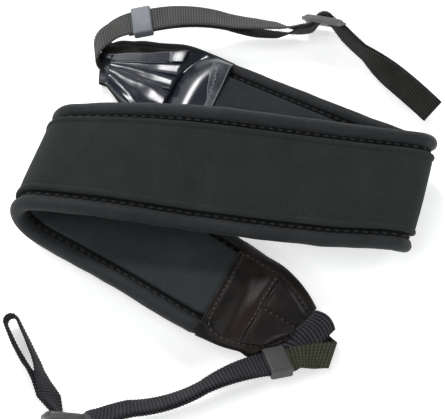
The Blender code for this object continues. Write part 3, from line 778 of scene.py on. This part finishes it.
# The seam across the lower tip, the valley before it, and the seam along the overlay.
cross_seam = curve((-0.9, 0.57), (-0.475, 0.538), (-0.333, 0.529), (-0.158, 0.521), (0.058, 0.488),
                   (0.35, 0.475), (0.617, 0.456), (0.75, 0.454))
lower_valley = curve((-0.6, 0.33), (-0.32, 0.30), (0.12, 0.25), (0.5, 0.15), (0.8, 0.1))
middle_seam = curve((0.49, 0.7), (0.6, 0.35), (0.77, -0.1), (0.97, -1.4))
# The gathered layer's far edge, the edge between its flat strip and the pleats, and its near edge.
strip_top = curve((0.36, 21.6), (0.371, 21.4), (0.658, 12.2), (0.95, 5.4), (1.0, 4.6))
strip_bottom = curve((0.36, 13.6), (0.508, 10.3), (0.633, 7.0), (0.912, 1.8), (1.0, 1.2))
gather_near = curve((0.36, -23.0), (0.6, -19.4), (0.8, -15.8), (1.0, -10.1))
upper_edge = curve((0.0, 27.0), (1.0, 10.5))
film_edge = curve((-0.9, 0.015), (0.0, 0.025), (0.225, 0.075), (0.525, 0.117), (0.858, 0.15))
# The crest of the upper sleeve's band, the height of the pleats, and the last pleat's height and form.
band_crest = soft_curve((-1, 0.168), (-0.16, 0.158), (0.12, 0.15), (0.3, 0.138), (0.5, 0.105),
                        (0.75, 0.045), (1, -0.02))
pleat_height = soft_curve((0.34, 2.75), (0.42, 2.05), (0.48, 1.5), (0.54, 1.02), (0.66, 0.75),
                          (0.85, 0.5), (1.05, 0.3))
last_height = soft_curve((0.36, 1.5), (0.55, 2.3), (0.68, 2.3), (0.78, 1.5), (0.88, 0.65),
                         (0.95, 0.38), (1.05, 0.3))
last_form = soft_curve((0.0, 0.0), (0.08, 0.75), (0.25, 1.0), (0.5, 0.82), (0.8, 0.58), (0.92, 0.4),
                       (1.0, 0.0))


def lower_mouth(f):
    """Where the lower sleeve begins."""
    return -0.015 - 0.085 * f


def upper_mouth(f):
    """Where the upper sleeve begins."""
    return -0.035 + 0.038 * f


def tip_dists(end, at):
    """Distances along the pad's line of fractions of a tip."""
    tip = TIPS[end]
    return tip.mouth + tip.way * np.asarray(at) * tip.length


def tip_sizes(end, at):
    """Far and near half width and half thickness of a tip at fractions of its length."""
    at = np.clip(at, 0, 1)
    marks, far, near = zip(*TIPS[end].widths)
    far, near = smooth(at, marks, far), smooth(at, marks, near)
    for flare in TIPS[end].flares:
        wider = step((at - flare.start) / flare.reach)
        far, near = far + flare.far * wider, near + flare.near * wider
    return far, near, TIP_MOUTH_HALF + (TIP_NOSE_HALF - TIP_MOUTH_HALF) * at


def share_across(end, at, v):
    """Places across a tip, from -1 at its near side to 1 at its far side."""
    far, near, half = tip_sizes(end, at)
    return np.where(v > 0, v / far, v / near)


def tip_points(end, at, v, lift, face=-1.0):
    """Points on a tip's skin at fractions of its length and millimetres across it. Face -1 is up."""
    at, v, lift, face = np.broadcast_arrays(*(np.asarray(values, float) for values in (at, v, lift, face)))
    a, b = at.ravel(), v.ravel()
    place, across, normal, tangent = PAD.at(tip_dists(end, a))
    f = np.clip(share_across(end, a, b), -1, 1)
    power = 4.0 + 6.0 * np.clip(1 - a / 0.5, 0, 1.1)
    half = tip_sizes(end, a)[2]
    w = face.ravel() * (np.sqrt(np.maximum(0.0, 1 - np.abs(f) ** power)) * half + lift.ravel())
    found = place + b[:, None] * across + w[:, None] * normal
    return found.reshape(at.shape + (3,))


def lower_relief(at, f, v):
    """Seams, rims and folds of the lower sleeve's upper face."""
    length = LOWER_LENGTH
    far, near, seam = far_seam(at), near_seam(at), cross_seam(f)
    inside = step((far - v) / 2.5) * step((v - near) / 2.5)
    lift = dip(v - far, 0.5, 0.8) + dip(v - near, 0.45, 0.8)
    lift += dip((at - lower_mouth(f) - 0.055) * length, 0.3, 0.7) * inside
    lift += 0.35 * swell((v - far) / np.maximum(27 - far, 4))
    lift += 0.35 * swell((near - v) / 5)
    lift += dip((at - lower_valley(f)) * length, 0.75, 3.0) * inside
    lift += dip((at - seam + 0.075) * length, -1.25, 2.3) * inside * step((f + 0.25) / 0.5)
    lift += dip((at - seam) * length, 0.45, 0.8) * inside
    lift -= 0.7 * step((at - seam) * length / 1.5) * inside
    folds = wobble(at * 4 + f, f * 1.5, 21.0) * 0.45 + wobble(at * 9, f * 4, 22.0) * 0.1
    return lift + folds * inside * step((at - lower_mouth(f)) * length / 4)


def overlay_lift(at, f, v):
    """Height of the lower overlay over the sleeve."""
    far, near, middle = far_seam(at), near_seam(at), middle_seam(at)
    past = (at - cross_seam(f)) * LOWER_LENGTH
    lift = 0.1 + 0.7 * (1 - np.exp(-np.maximum(past, 0) / 2.5))
    lift += 0.55 * swell((v - middle) / np.maximum(far - middle, 1))
    lift += 0.5 * swell((middle - v) / np.maximum(middle - near, 1))
    lift += dip(v - middle, 0.75, 0.9) * step(past / 2)
    lift += dip(v - far + 1.6, -0.4, 0.8) * step((at - 0.6) / 0.12)
    folds = wobble(at * 3, v * 0.18, 41.0) * 0.4 + wobble(at * 8, v * 0.4, 43.0) * 0.1
    lift += folds * step(past / 3)
    return lift * step((far - v + 0.3) / 1.4) * step((v - near + 0.3) / 1.4) + 0.05


def band_section(x):
    """Height of the rounded band at millimetres past its crest: round, then a straight slope and a valley."""
    top, turn, rounding, slope = 2.6, 6.4, 0.0375, 0.48
    down = np.where(x < turn, top - rounding * x * x, top - rounding * turn * turn - slope * (x - turn))
    down = np.maximum(down, -1.5) * (1 - step((x - 11.6) / 4.0))
    return np.where(x < 0, top * np.exp(-((x / 6.0) ** 2)), down)


def band(at, f):
    """Height of the rounded band on the upper sleeve."""
    height = band_section((at - band_crest(f)) * UPPER_LENGTH)
    return height * step((0.95 - f) / 0.2) * step((f + 0.95) / 0.15)


def sunken(at, v):
    """How far the sleeve sinks under the gathered layer."""
    return 0.4 * step((at - 0.4) / 0.05) * step((strip_top(at) - v) / 2)


def upper_relief(at, f, v):
    """Rounded band, rim and soft folds of the upper sleeve's upper face."""
    inside = step((0.9 - f) / 0.15) * step((f + 0.95) / 0.15)
    top = strip_top(at)
    lift = band(at, f)
    lift += 0.55 * swell((v - top) / np.maximum(upper_edge(at) - top, 2)) * step((at - 0.3) / 0.2)
    lift -= sunken(at, v)
    folds = wobble(at * 4, f * 1.4, 31.0) * 0.15 + wobble(at * 11, f * 4, 33.0) * 0.03
    return lift + folds * inside * step((at - upper_mouth(f)) * UPPER_LENGTH / 4)


def gather_base(at, f, v):
    """What the gathered layer lies on: the sleeve without its band and step."""
    return upper_relief(at, f, v) - band(at, f) + sunken(at, v) - 0.3


def gather_lift(at, f, v):
    """Pleats that run together towards the nose, beside a flat strip."""
    share = np.clip((at - 0.38) / 0.58, 0, 1)
    lines = [valley.mouth + (valley.nose - valley.mouth) * share for valley in VALLEYS]
    lines[0] = np.minimum(strip_bottom(at), lines[0])
    lift = np.zeros(np.broadcast(at, v).shape)
    for k, (high, low) in enumerate(zip(lines, lines[1:])):
        part = np.clip((v - low) / (high - low), 0, 1)
        if k < len(PLEATS):
            pleat = PLEATS[k].size * pleat_height(at) * (1 - np.abs(2 * part - 1) ** PLEATS[k].blunt)
        else:
            pleat = last_height(at) * last_form(part)
        lift = np.where((v <= high) & (v > low), pleat, lift)
    strip = 0.75 + 0.75 * (1 - step((at - 0.35) / 0.14))
    strip = strip * step((v - strip_bottom(at)) / 0.9) * step((strip_top(at) - v + 0.2) / 0.6)
    lift = np.where(v > lines[0], strip, lift)
    folds = wobble(at * 5, v * 0.16, 51.0) * 0.25 + wobble(at * 13, v * 0.3, 53.0) * 0.03
    return 0.5 + lift + folds * (v < lines[0])


def build_sleeve(end, mouth, nose, relief, material, margin=None):
    """The sleeve over one end of the pad, up to a fraction of its length. The margin is a second
    material for its far edge and its underside."""
    columns = 97
    f = np.sin(np.radians(np.linspace(-90, 90, columns)))
    both = np.concatenate([f, f[-2:0:-1]])
    up = np.arange(len(both)) < columns
    t = np.linspace(0, 1, 110)
    at = mouth(both)[None] + (nose - mouth(both))[None] * t[:, None]
    far, near, half = tip_sizes(end, at)
    v = np.where(both > 0, both * far, both * near)
    spread = np.broadcast_to(both, at.shape)
    lift = np.zeros(at.shape)
    lift[:, up] = relief(at[:, up], spread[:, up], v[:, up]) * (1 - np.abs(both[up]) ** 14)
    lift[:, ~up] = wobble(at[:, ~up] * 4, both[None, ~up] * 2, 61.0) * 0.3 * (1 - both[None, ~up] ** 6)
    rings = tip_points(end, at, v, lift, np.where(up, -1.0, 1.0))
    sleeve = solid_tube(end + "_sleeve", rings, t * TIPS[end].length, around_of(rings[0]), material)
    if margin:
        limit = np.where(at < 0.36, far * 0.9, strip_top(at) + 0.3)
        plain = up & (v < limit) & (spread > -0.93)
        second_material(sleeve, margin, ~plain[:-1], 1)
    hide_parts(end + "_tip")


def build_layer(name, end, node, start, low, high, under, over, material):
    """A thin layer lying on a tip's upper face, between two edges across and from its start to the nose."""
    thick, stop = 0.45, 0.985
    t = np.linspace(0, 1, 70)[:, None]
    q = np.linspace(0, 1, 150)[None]
    at = np.full((70, 150), 0.5)
    for _ in range(4):
        v = low(at) + (high(at) - low(at)) * q
        f = share_across(end, at, v)
        begin = start(f, q)
        at = begin + (stop - begin) * t
    lift = under(at, f, v) + over(at, f, v)
    top, bottom = tip_points(end, at, v, lift), tip_points(end, at, v, lift - thick)
    rings = np.concatenate([top, bottom[:, ::-1]], 1)
    along = t[:, 0] * (stop - 0.4) * TIPS[end].length
    layer = solid_tube(name, rings, along, around_of(rings[0]), material)
    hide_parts(node)


def tip_line(end, marks, relief, extra=None):
    """Sixty points on a tip's relief along marks of (at, v)."""
    marks = np.asarray(marks, float)
    dist = lengths(marks * (50.0, 1.0))
    along = np.linspace(0, dist[-1], 60)
    at, v = np.interp(along, dist, marks[:, 0]), np.interp(along, dist, marks[:, 1])
    f = share_across(end, at, v)
    lift = relief(at, f, v)
    if extra:
        lift = lift + extra(at, f, v)
    return tip_points(end, at, v, lift)


def stitches_along(points, pitch, outward, lift, slant=0.0):
    """Stitch triples every pitch along a line of points."""
    dist = lengths(points)
    marks = np.arange(pitch / 2, dist[-1], pitch)
    spots = by_axis(np.interp, marks, dist, points)
    ahead = unit(by_axis(np.interp, marks, dist, np.gradient(points, axis=0)))
    found = []
    for i, spot in enumerate(spots):
        aside = np.cross(outward, ahead[i])
        turned = ahead[i] * np.cos(slant) + aside * np.sin(slant) * (1 if i % 2 else -1)
        found.append((spot + outward * lift, unit(turned), outward))
    return found


def tip_normal(end):
    """The direction that a tip's upper face looks in, at its middle."""
    return -PAD.at(tip_dists(end, 0.4))[2][0]


def build_lower_tip():
    """The lower sleeve with its overlay and stitches."""
    build_sleeve("lower", lower_mouth, 1.0, lower_relief, LEATHER)
    build_layer("lower_layer", "lower", "lower_tip_overlay", lambda f, q: cross_seam(f) + 0.004,
                lambda at: near_seam(at) - 0.2, lambda at: far_seam(at) + 0.2,
                lower_relief, overlay_lift, LEATHER_TOP)
    out = tip_normal("lower")
    near_start = [(0.085, -12.0), (0.11, -18.0), (0.13, -20.5)]
    rows = [
        [(a, far_seam(a)) for a in np.linspace(0.0, 0.99, 60)],
        near_start + [(a, near_seam(a)) for a in np.linspace(0.17, 0.99, 50)],
        [(lower_mouth(v / 27.8) + 0.055, v) for v in np.linspace(19.5, -14.0, 40)],
        [(cross_seam(v / 22.0) - 0.03, v) for v in np.linspace(15.5, -11.0, 40)],
    ]
    paths = []
    for row in rows:
        paths += stitches_along(tip_line("lower", row, lower_relief), 2.7, out, 0.18)
    middle = [(a, middle_seam(a) - 0.9) for a in np.linspace(0.52, 0.95, 30)]
    paths += stitches_along(tip_line("lower", middle, lower_relief, overlay_lift), 2.7, out, 0.1)
    seam = stitch_row("lower_stitches", paths, PALE_THREAD, 1.5, 0.24)


def build_upper_tip():
    """The upper sleeve with its gathered layer, clear film, stitches and piping."""
    build_sleeve("upper", upper_mouth, 1.08, upper_relief, VINYL, MARGIN)
    build_layer("upper_layer", "upper", "upper_tip_gather",
                lambda f, q: 0.362 + (0.77 - f) * 0.024 + 0.006 * np.cos(q * 34.0) * (q < 0.75),
                gather_near, strip_top, gather_base, gather_lift, VINYL_TOP)
    out = tip_normal("upper")
    right = np.array([(upper_mouth(f) + 0.006, f * 27.6) for f in np.linspace(0.9, -0.9, 40)])
    left = np.array([(film_edge(f), f * 27.0) for f in np.linspace(0.86, -0.9, 40)])
    build_film(right, left)
    zigzag = [(0.095, 19.5), (0.088, 18.8), (0.062, 12.8), (0.042, 7.1), (0.021, 1.4), (0.006, -8.0),
              (-0.01, -20.0)]
    paths = stitches_along(tip_line("upper", zigzag, upper_relief), 1.9, out, 0.3, 0.6)
    seam = stitch_row("film_stitches", paths, CLEAR_THREAD, 2.3, 0.2)
    strip = [(a, strip_top(a) - 0.35) for a in np.linspace(0.375, 0.955, 40)]
    strip_low = [(a, strip_bottom(a) + 0.5) for a in np.linspace(0.5, 0.93, 40)]
    end = [strip[-1], strip_low[-1]]
    tick = [(0.492, strip_top(0.492) - 0.6), (0.467, strip_bottom(0.467) + 0.6)]
    bars = [[(a + shift, v) for a, v in tick] for shift in (-0.009, -0.003, 0.003, 0.009)]
    lines = [tip_line("upper", line, gather_base, gather_lift) for line in [strip, strip_low, end] + bars]
    lines.append(tip_line("upper", right, upper_relief) + out * 0.25)
    lines.append(tip_line("upper", left, upper_relief) + out * 0.2)
    beads = bead("film_beads", lines, 0.2, CLEAR_EDGE)


def build_film(right, left):
    """The clear film along the upper sleeve's mouth, between two lines of (at, v)."""
    grid = right + (left - right) * np.linspace(0, 1, 16)[:, None, None]
    at, v = grid[..., 0], grid[..., 1]
    base = upper_relief(at, share_across("upper", at, v), v) + wobble(at * 30, v * 0.4, 71.0) * 0.12
    top, bottom = tip_points("upper", at, v, base + 0.22), tip_points("upper", at, v, base + 0.05)
    rings = np.concatenate([top, bottom[:, ::-1]], 1)
    film = solid_tube("upper_film", rings, np.arange(16) / 3.9, np.arange(81.0), FILM)


# ---------------------------------------------------------------- webbing, keepers, sliders
def weave(strap):
    """Rows that lift the pair of layers over a slider's bar and down again."""
    turn = RISE + strap.turn
    return [
        Row(RISE_LENGTH, 4, strap.way * RISE),
        Row(RAMP_LENGTH, 3),
        Row(ARCH_RADIUS * np.radians(turn), 8, -strap.way * turn),
        Row(3.0, 3),
    ]


def nose_frame(end):
    """Middle of a tip's nose, and the frame of the webbing leaving it."""
    place, across, normal, tangent = (x[0] for x in PAD.at(tip_dists(end, 1.0)))
    line = unit(across)
    out = -TIPS[end].way * unit(np.cross(line, (0.0, 0.0, 1.0)))
    up = np.cross(out, line)
    up = up * np.sign(up[2])
    return place, np.stack([out, np.cross(up, out), up], 1)


def free_end(pair, axes, free):
    """The loose end of a strip past its keeper, through marks of (middle, far edge)."""
    reaches = (0.0, 2.5, 5.0) if free else (0.0, 2.5, 5.0, 8.0)
    start = pair.place[0] - axes[:, 2] * LAYER
    spots = np.array([start - axes[:, 0] * reach for reach in reaches] + [middle for middle, _ in free])
    sides = np.array([-axes[:, 1]] * len(reaches) + [unit(np.array(side)) for _, side in free])
    dist = lengths(spots)
    marks = np.arange(0.5, dist[-1], 0.5)
    place = by_axis(smooth, marks, dist, spots)
    across = unit(by_axis(smooth, marks, dist, sides))
    tangent = unit(np.gradient(place, axis=0))
    normal = unit(np.cross(tangent, across))
    return place, unit(np.cross(normal, tangent)), normal


def strap_line(strap):
    """Places, width directions and face normals of a whole webbing strip, and the pair's line."""
    place, axes = nose_frame(strap.end)
    nose = follow(place, axes, strap.fold, 0.0)
    pair_axes = start_frame(strap.keeper)
    pair = follow(strap.keeper[:3], pair_axes, strap.run + weave(strap) + strap.tail, 0.0)
    # The root inside the tip.
    inner = PAD.at(tip_dists(strap.end, 0.9))[2][0]
    inner = inner * np.sign(inner[2])
    level = square(axes[:, 0], inner)
    backs = np.array([7.0, 5.0, 3.0, 1.5])
    root = place - backs[:, None] * level
    parts = [(root, np.tile(np.cross(inner, level), (4, 1)), np.tile(inner, (4, 1)))]
    # The curl, which drifts to the upper layer's place in the keeper.
    curl_end = strap.fold[0].length + strap.fold[1].length
    spot, across, normal, tangent = nose.at(nose.dist)
    t = np.clip((nose.dist - curl_end) / strap.fold[2].length, 0, 1)[:, None]
    miss = pair.place[0] - strap.run[0].length * pair_axes[:, 0] - nose.place[-1]
    lane = LAYER * t * t * (3 - 2 * t) + strap.arch * 4 * t * (1 - t)
    turned = np.radians(strap.roll) * 4 * t * (1 - t)
    side = across * np.cos(turned) + normal * np.sin(turned)
    face = np.cross(tangent, side)
    face = face * np.sign((face * normal).sum(1, keepdims=True))
    parts.append((spot + miss * t - normal * lane, side, face))
    # The upper layer, the turn at the tail's end, the lower layer and the loose end.
    half = np.interp(pair.dist, *zip(*strap.spread))[:, None]
    place, across, normal, tangent = pair.at(pair.dist)
    parts.append((place + normal * half, -across, -normal))
    a = np.linspace(0, np.pi, 26)[1:-1, None]
    out = np.cos(a) * normal[-1] + np.sin(a) * tangent[-1]
    parts.append((place[-1] + out * half[-1], np.tile(-across[-1], (24, 1)), -out))
    parts.append(((place - normal * half)[::-1], -across[::-1], normal[::-1]))
    parts.append(free_end(pair, pair_axes, strap.free))
    return [np.concatenate([part[k] for part in parts]) for k in range(3)], pair


def even_stations(stations, gap):
    """Respace stations evenly by distance."""
    dist = lengths(stations[0])
    keep = np.concatenate([[True], np.diff(dist) > 1e-5])
    marks = np.arange(0, dist[-1], gap)
    found = [by_axis(np.interp, marks, dist[keep], source[keep]) for source in stations]
    found[2] = unit(found[2])
    return found, marks


def build_webbing(strap, front, back):
    """One strip of ribbed webbing, its ribs as geometry and its end bowed, with the line of its pair."""
    half, thick, rib, notch, bow_reach = 6.0, 0.5, 0.14, 0.05, 24.0
    stations, pair = strap_line(strap)
    stations, marks = even_stations(stations, strap.pitch / 5)
    for bulge in strap.bulges:
        share = step(1 - np.abs(marks - bulge.at) / bulge.reach)[:, None]
        stations[0] = stations[0] + share * bulge.shift
        stations[1] = unit(stations[1] + share * bulge.tilt)
        stations[2] = square(stations[2], stations[1])
    v = np.concatenate([[half - 0.1], np.linspace(5.0, -5.0, 9), [0.1 - half]])
    top = np.stack([v, np.full(11, thick)], 1)
    loop = np.concatenate([[(half, 0.0)], top, [(-half, 0.0)], (top * (1, -1))[::-1]])
    loops = np.repeat(loop[None], len(marks), 0)
    ribs = np.cos(2 * np.pi * marks / strap.pitch)[:, None]
    loops[..., 1] += np.sign(loop[:, 1]) * rib * ribs
    loops[:, [0, 12], 0] += np.array([1, -1]) * notch * ribs
    ahead = unit(np.gradient(stations[0], axis=0))
    bend = strap.bow * step((marks - marks[-1] + bow_reach) / bow_reach)
    bowed = bend[:, None, None] * (1 - (loops[..., 0:1] / half) ** 2) * ahead[:, None]
    rings = rings_of(stations, loops) + bowed
    strip = solid_tube(strap.end + "_strap", rings, marks, around_of(loop), front)
    # The second material: the olive back on the near strip, painted shade on the far strip.
    turned = np.any([(marks[:-1] > low) & (marks[:-1] < high) for low, high in strap.backs], axis=0)
    second_material(strip, back, np.repeat(turned, len(loop)))
    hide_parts(strap.end + "_webbing")
    return pair


def rounded(half_x, half_y, radius, steps):
    """Outline of a rectangle with round corners."""
    found = []
    for x, y, first in ((1, 1, 0), (-1, 1, 90), (-1, -1, 180), (1, -1, 270)):
        turn = np.radians(first + 90 * np.arange(steps + 1) / steps)
        corner = (x * (half_x - radius), y * (half_y - radius))
        found.append(corner + radius * np.stack([np.cos(turn), np.sin(turn)], 1))
    return np.concatenate(found)


def build_keeper(name, node, strap, material):
    """The flat loop round both layers, with rounded edges. Its profile is (along, inset)."""
    half_length, half_width, half_height = 4.7, 7.4, 2.63
    rise = [(-1.0, 0.45), (-0.97, 0.2), (-0.9, 0.05), (-0.8, 0.0)]
    profile = rise + [(-share, inset) for share, inset in rise[::-1]]
    axes = start_frame(strap.keeper)
    along = np.array([share * half_length for share, _ in profile])
    outer = np.array([rounded(half_width - inset, half_height - inset, 1.0, 8) for _, inset in profile])
    inner = np.array([rounded(half_width - 1.1, half_height - 1.1, 0.3, 8)] * len(profile))
    stations = (strap.keeper[:3] + along[:, None] * axes[:, 0], axes[None, :, 1], axes[None, :, 2])
    loop = hollow_tube(name, rings_of(stations, outer), rings_of(stations, inner), material)
    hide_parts(node)


# The camera's angle above the floor, and the direction towards it that the sliders lean about.
ELEVATION = 62.716
TOWARD_CAMERA = (0.0, -0.4585, 0.8887)


def glide_frame(pair, strap, lean, roll):
    """Middle of a slider and its directions along, across and out of its plate."""
    place, across, normal, tangent = (x[0] for x in pair.at(sum(row.length for row in strap.run)))
    lift = np.radians(RISE)
    reach = RISE_LENGTH / lift * np.sin(lift) + RAMP_LENGTH * np.cos(lift) + ARCH_RADIUS * np.sin(lift)
    centre = place + tangent * reach - normal * strap.way * GLIDE_OFFSET
    turn = np.array(Matrix.Rotation(-np.radians(lean), 3, TOWARD_CAMERA))
    tangent, across, normal = turn @ tangent, turn @ across, turn @ normal
    turn = np.array(Matrix.Rotation(np.radians(roll), 3, tuple(tangent)))
    return centre, tangent, turn @ across, turn @ normal


def build_glide(name, node, pair, strap, material, lean, roll):
    """A flat slider: a rounded plate with two slots beside a middle bar, its long sides thicker. It leans
    clockwise in the photo's view and rolls about its length, both in degrees."""
    half_length, half_width, corner, half_thick, edge = 11.0, 9.5, 6.0, 0.8, 0.55
    slot_middle, slot_half, slot_reach, slot_corner = 3.4, 2.4, 6.3, 0.7
    thicker, side_start, side_reach = 1.1, 6.8, 1.5
    centre, tangent, across, normal = glide_frame(pair, strap, lean, roll)
    turns = np.pi * (np.arange(9) / 8 - 0.5)
    heights = np.sign(np.sin(turns)) * (half_thick - edge) + edge * np.sin(turns)
    levels = list(zip(heights, edge * (1 - np.cos(turns))))
    work = bmesh.new()
    rims = {-1: [], 1: []}
    for kind, shift in (("outside", 0.0), ("slot", slot_middle), ("slot", -slot_middle)):
        rings = []
        for height, inset in levels:
            if kind == "outside":
                outline = rounded(half_length - inset, half_width - inset, corner - inset, 14)
            else:
                outline = rounded(slot_half + inset, slot_reach + inset, slot_corner + inset, 5)
            ring = []
            for x, y in outline:
                high = height * (1 + thicker * step((abs(y) - side_start) / side_reach))
                spot = centre + tangent * (x + shift) + across * y + normal * high
                ring.append(work.verts.new(tuple((spot - FOOT) * 0.001)))
            rings.append(ring)
        for low, high in zip(rings[:-1], rings[1:]):
            for j, vert in enumerate(low):
                k = (j + 1) % len(low)
                work.faces.new((vert, low[k], high[k], high[j]))
        for ring, side in ((rings[0], -1), (rings[-1], 1)):
            rims[side] += [work.edges.get((vert, ring[j - 1])) for j, vert in enumerate(ring)]
    for side in (-1, 1):
        bmesh.ops.triangle_fill(work, use_beauty=True, use_dissolve=False, edges=rims[side])
    work.verts.index_update()
    verts = np.array([vert.co for vert in work.verts]) * 1000 + FOOT
    faces = [tuple(vert.index for vert in face.verts) for face in work.faces]
    work.free()
    glide = finish_mesh(name, verts, faces, material)
    glide.data.set_sharp_from_angle(angle=np.radians(50))
    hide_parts(node)


# ---------------------------------------------------------------- scene
def aim(thing, eye, target):
    """Point a camera or light at a place."""
    eye, target = np.asarray(eye, float), np.asarray(target, float)
    forward = unit(target - eye)
    right = unit(np.cross(forward, (0.0, 0.0, 1.0)))
    up = np.cross(right, forward)
    thing.matrix_world = Matrix((*np.stack([right, up, -forward, eye], 1).tolist(), (0, 0, 0, 1)))


def build_camera():
    """The camera at the photo's angle. Its focal length is in pixels of the photo's width."""
    distance, sensor, focal, width = 0.5002, 36.0, 1098.4, 445
    camera = bpy.data.cameras.new("camera")
    camera.sensor_width = sensor
    camera.lens = sensor * focal / width
    camera.clip_start = 0.01
    view = placed("camera", camera)
    target = -FOOT * 0.001
    angle = np.radians(ELEVATION)
    aim(view, target + distance * np.array((0, -np.cos(angle), np.sin(angle))), target)
    bpy.context.scene.camera = view


def build_floor():
    """A pale round floor that curves up far behind everything. Its profile is (radius, height)."""
    sides = 72
    flat, bend = 2.4, 0.6
    turns = np.linspace(0.15, np.pi / 2, 8)
    profile = [(0.5, 0.0), (1.2, 0.0), (flat, 0.0)]
    profile += [(flat + bend * np.sin(a), bend - bend * np.cos(a)) for a in turns] + [(flat + bend, 1.5)]
    turns = np.linspace(0, 2 * np.pi, sides, endpoint=False)
    spots = [(r * np.cos(t), r * np.sin(t), z) for r, z in profile for t in turns]
    faces = [face[::-1] for face in tube_faces(len(profile), sides).tolist()] + [tuple(range(sides))]
    floor = bpy.data.meshes.new("floor")
    floor.from_pydata(spots, [], faces)
    floor.polygons.foreach_set("use_smooth", np.ones(len(floor.polygons), dtype=bool))
    material, tree, shader = node_material("floor")
    paint(tree, shader, noise_of(tree, 3.0, 2.0), (0.79, 0.815, 0.80), (0.81, 0.82, 0.815))
    put(shader, Roughness=0.9, Specular_IOR_Level=0.1)
    put(shader, Emission_Color=(1.0, 1.0, 1.0, 1.0), Emission_Strength=0.5)
    floor.materials.append(material)
    placed("floor", floor)


def build_lights():
    """Soft studio lights and a dim, even surround."""
    for name, eye, size, power in (
        ("key", (-0.41, 0.92, 0.97), (0.32, 0.28), 11.0),
        ("top", (-0.5, -0.1, 1.35), (0.6, 0.6), 4.5),
        ("left", (-1.25, -0.35, 0.85), (0.35, 0.35), 5.0),
        ("right", (1.2, 0.2, 0.9), (0.35, 0.35), 2.5),
        ("front", (0.85, -0.85, 0.65), (0.5, 0.4), 4.0),
    ):
        lamp = bpy.data.lights.new(name, "AREA")
        lamp.shape = "RECTANGLE"
        lamp.size, lamp.size_y = size
        lamp.energy = power
        aim(placed(name, lamp), eye, (0, 0, 0))
    world = bpy.data.worlds.new("studio")
    world.use_nodes = True
    put(world.node_tree.nodes["Background"], Color=(0.97, 0.99, 1.0, 1), Strength=0.16)
    bpy.context.scene.world = world
    bpy.context.scene.view_settings.view_transform = "Standard"


build_camera()
build_floor()
build_lights()
build_pad()
build_panel()
build_lining()
build_pad_stitches()
build_lower_tip()
build_upper_tip()
near_pair = build_webbing(NEAR_STRAP, DARK_WEB, OLIVE_WEB)
far_pair = build_webbing(FAR_STRAP, GREY_WEB, SHADED_GREY_WEB)
build_keeper("near_keeper", "lower_keeper", NEAR_STRAP, LOWER_PLASTIC)
build_keeper("far_keeper", "upper_keeper", FAR_STRAP, UPPER_PLASTIC)
build_glide("near_slider", "lower_triglide", near_pair, NEAR_STRAP, DARK_GLIDE, 15.0, 0.0)
build_glide("far_slider", "upper_triglide", far_pair, FAR_STRAP, GREY_GLIDE, 17.0, 13.0)
